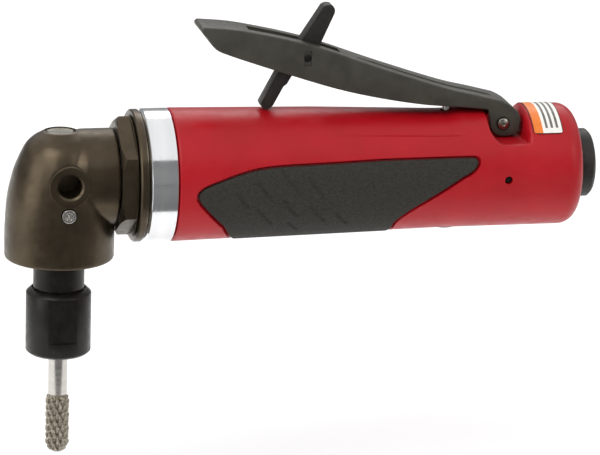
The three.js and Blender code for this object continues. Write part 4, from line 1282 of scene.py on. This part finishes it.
def lock_arms():
    half = span("safety_lock")[1][1]
    lock_x, lock_z = LOCK_PIVOT[0], LOCK_PIVOT[2]
    hub = 3.9
    outline = [(79.2, 44.6), (86.7, 56.2)]
    bend(outline, (88.2, 57.4), (89.9, 56.6))
    bend(outline, (91, 55.6), (90.6, 54))
    outline += [(85.7, 42.9), (84.6, 38.4), (76.6, 33), (75.1, 30.4), (74, 29.6), (70.7, 23.4)]
    bend(outline, (69.6, 21.9), (68.3, 22))
    bend(outline, (66.6, 22.2), (66.4, 24))
    outline += [(72.2, 35), (77.2, 41.6)]
    arms = prism("lock_arms", outline, -half, half)
    combine(arms, "UNION", rod("y", -half, half, hub, (lock_x, 0, lock_z), MEDIUM))
    soften(arms, 0.55, 3, 40)
    combine(arms, "DIFFERENCE", through(1.5, LOCK_PIVOT))
    return put(arms, "safety_lock", "black_composite", LOCK_BLACK, "safety_lock", sharp=40)


def lock_axle():
    low, high = span("lock_pin")
    start, end = low[1], high[1]
    radius = (high[0] - low[0]) / 2
    edge = 0.2
    profile = [(start, 0), (start, radius - edge), (start + edge, radius), (end - edge, radius),
               (end, radius - edge), (end, 0)]
    axle = turned("lock_axle", "y", profile, FINE, (LOCK_PIVOT[0], 0, LOCK_PIVOT[2]))
    return put(axle, "lever", "steel", OXIDE, "lock_pin")


def torsion_spring():
    """A round wire wound about the lock's pin."""
    low, high = span("lock_spring")
    wire = 0.33
    radius = 2.2
    turns, steps_a_turn, sides = 2, 36, 12
    start, end = low[1] + wire, high[1] - wire
    steps = turns * steps_a_turn
    sections = []
    for number in range(steps + 1):
        angle = 2 * math.pi * number / steps_a_turn
        place = start + (end - start) * number / steps
        section = []
        for side in range(sides):
            turn = 2 * math.pi * side / sides
            section.append(spun("y", place + wire * math.sin(turn), radius + wire * math.cos(turn), angle))
        sections.append(section)
    spring = solid_through("torsion_spring", sections, (LOCK_PIVOT[0], 0, LOCK_PIVOT[2]))
    return put(spring, "lever", "steel", STEEL, "lock_spring")


# ---- Stage -------------------------------------------------------------------------------------


def sheet(name, corners, material):
    """A flat four-cornered piece of the stage."""
    mesh = bpy.data.meshes.new(name)
    mesh.from_pydata(corners, [], [(0, 1, 2, 3)])
    mesh.materials.append(material)
    return added(name, mesh)


def dark_card(low, high, grey):
    """A dark card between two corners that shiny pieces reflect and the camera doesn't see."""
    darker = grey - 6
    tones = colour(grey, grey, grey), colour(darker, darker, darker)
    corners = [low, (high[0], low[1], low[2]), high, (low[0], high[1], high[2])]
    card_object = sheet("dark_card", corners, plain("card_grey", *tones, 0.9, 200, grain=0.01))
    card_object.visible_camera = False
    card_object.visible_shadow = False
    card_object.visible_diffuse = False


def soft_light(name, place, size, power):
    """A lit panel that faces the middle of the tool. Places and sizes are in metres."""
    lamp = bpy.data.lights.new(name, "AREA")
    lamp.shape = "RECTANGLE"
    lamp.size, lamp.size_y = size
    lamp.energy = power
    holder = added(name, lamp)
    holder.location = place
    holder.rotation_euler = (-Vector(place)).to_track_quat("-Z", "Y").to_euler()


def stage():
    """A pale floor with room for the burr to slide out, soft lights and dark cards."""
    floor_height = cad_box[0].z - 0.0205
    reach = 6.0
    corners = [(x * reach, y * reach, floor_height) for x, y in ((-1, -1), (1, -1), (1, 1), (-1, 1))]
    tones = colour(254, 254, 254), colour(252, 252, 252)
    floor_object = sheet("floor", corners, plain("floor_paint", *tones, 0.8, 300, grain=0.01))

    soft_light("key", (-1.1, -1.0, 1.7), (1.4, 1.0), 16)
    soft_light("fill", (1.5, -1.3, 0.9), (1.2, 1.2), 5)
    soft_light("back", (0.3, 1.6, 1.3), (1.6, 0.8), 8)
    soft_light("side", (-1.6, -0.45, 0.2), (0.9, 1.3), 7)

    left, right, near, far = -1.0, 1.6, -0.105, -2.2
    lying_height = floor_height + 0.002
    standing_top = 1.8
    lying_grey, standing_grey = 108, 134
    dark_card((left, far, lying_height), (right, near, lying_height), lying_grey)
    dark_card((left, far, floor_height), (right, far, standing_top), standing_grey)

    paint_world()


def paint_world():
    """Surroundings that brighten from a grey horizon to a white ceiling."""
    horizon, wall_grey = 0.30, 0.36
    world = bpy.data.worlds.new("studio")
    bpy.context.scene.world = world
    world.use_nodes = True
    nodes = world.node_tree.nodes
    links = world.node_tree.links
    way = nodes.new("ShaderNodeTexCoord")
    parts = nodes.new("ShaderNodeSeparateXYZ")
    ramp = nodes.new("ShaderNodeValToRGB")
    lift = nodes.new("ShaderNodeMapRange")
    lift.inputs["From Min"].default_value = -1.0
    links.new(way.outputs["Generated"], parts.inputs["Vector"])
    links.new(parts.outputs["Z"], lift.inputs["Value"])
    links.new(lift.outputs["Result"], ramp.inputs["Fac"])
    links.new(ramp.outputs["Color"], nodes["Background"].inputs["Color"])
    ramp.color_ramp.elements[0].position = 0.50
    ramp.color_ramp.elements[0].color = (horizon, horizon, horizon, 1)
    ramp.color_ramp.elements[1].position = 0.72
    ramp.color_ramp.elements[1].color = (1, 1, 1, 1)
    wall = ramp.color_ramp.elements.new(0.64)
    wall.color = (wall_grey, wall_grey, wall_grey, 1)
    nodes["Background"].inputs["Strength"].default_value = 0.9
    bpy.context.scene.view_settings.view_transform = "Standard"


def camera():
    """A long lens at the tool's front left, a little above it."""
    azimuth, elevation, roll = math.radians(12.6), math.radians(15.97), math.radians(-1.635)
    distance = 1.34383
    aim = Vector(to_row((79.83, -7.39, -17.714)))
    back = Vector((
        -math.sin(azimuth) * math.cos(elevation),
        -math.cos(azimuth) * math.cos(elevation),
        math.sin(elevation),
    ))
    right = Vector((math.cos(azimuth), -math.sin(azimuth), 0))
    up = back.cross(right)
    tilted_right = math.cos(roll) * right - math.sin(roll) * up
    tilted_up = math.sin(roll) * right + math.cos(roll) * up
    lens = bpy.data.cameras.new("camera")
    lens.sensor_width = 36
    lens.lens = 242.1
    lens.clip_start = 0.05
    holder = added("camera", lens)
    turn = Matrix((tilted_right, tilted_up, back)).transposed()
    holder.matrix_world = Matrix.Translation(aim + back * distance) @ turn.to_4x4()
    bpy.context.scene.camera = holder


# ---- Putting it together -----------------------------------------------------------------------

dress_cad_nodes()
camera()
stage()

head_casting()
cap_plug()
grease_nipple()
lock_nut()
bearing_retainer()
spindle_shaft()
collet_sleeve()
nut_sleeve()
burr_cutter()
motor_collar()
housing()
grip_pad()
label()
plunger()
valve_cap()
inlet()
exhaust_deflector()
locating_pin()
lever()
hinge_pin()
lock_arms()
lock_axle()
torsion_spring()
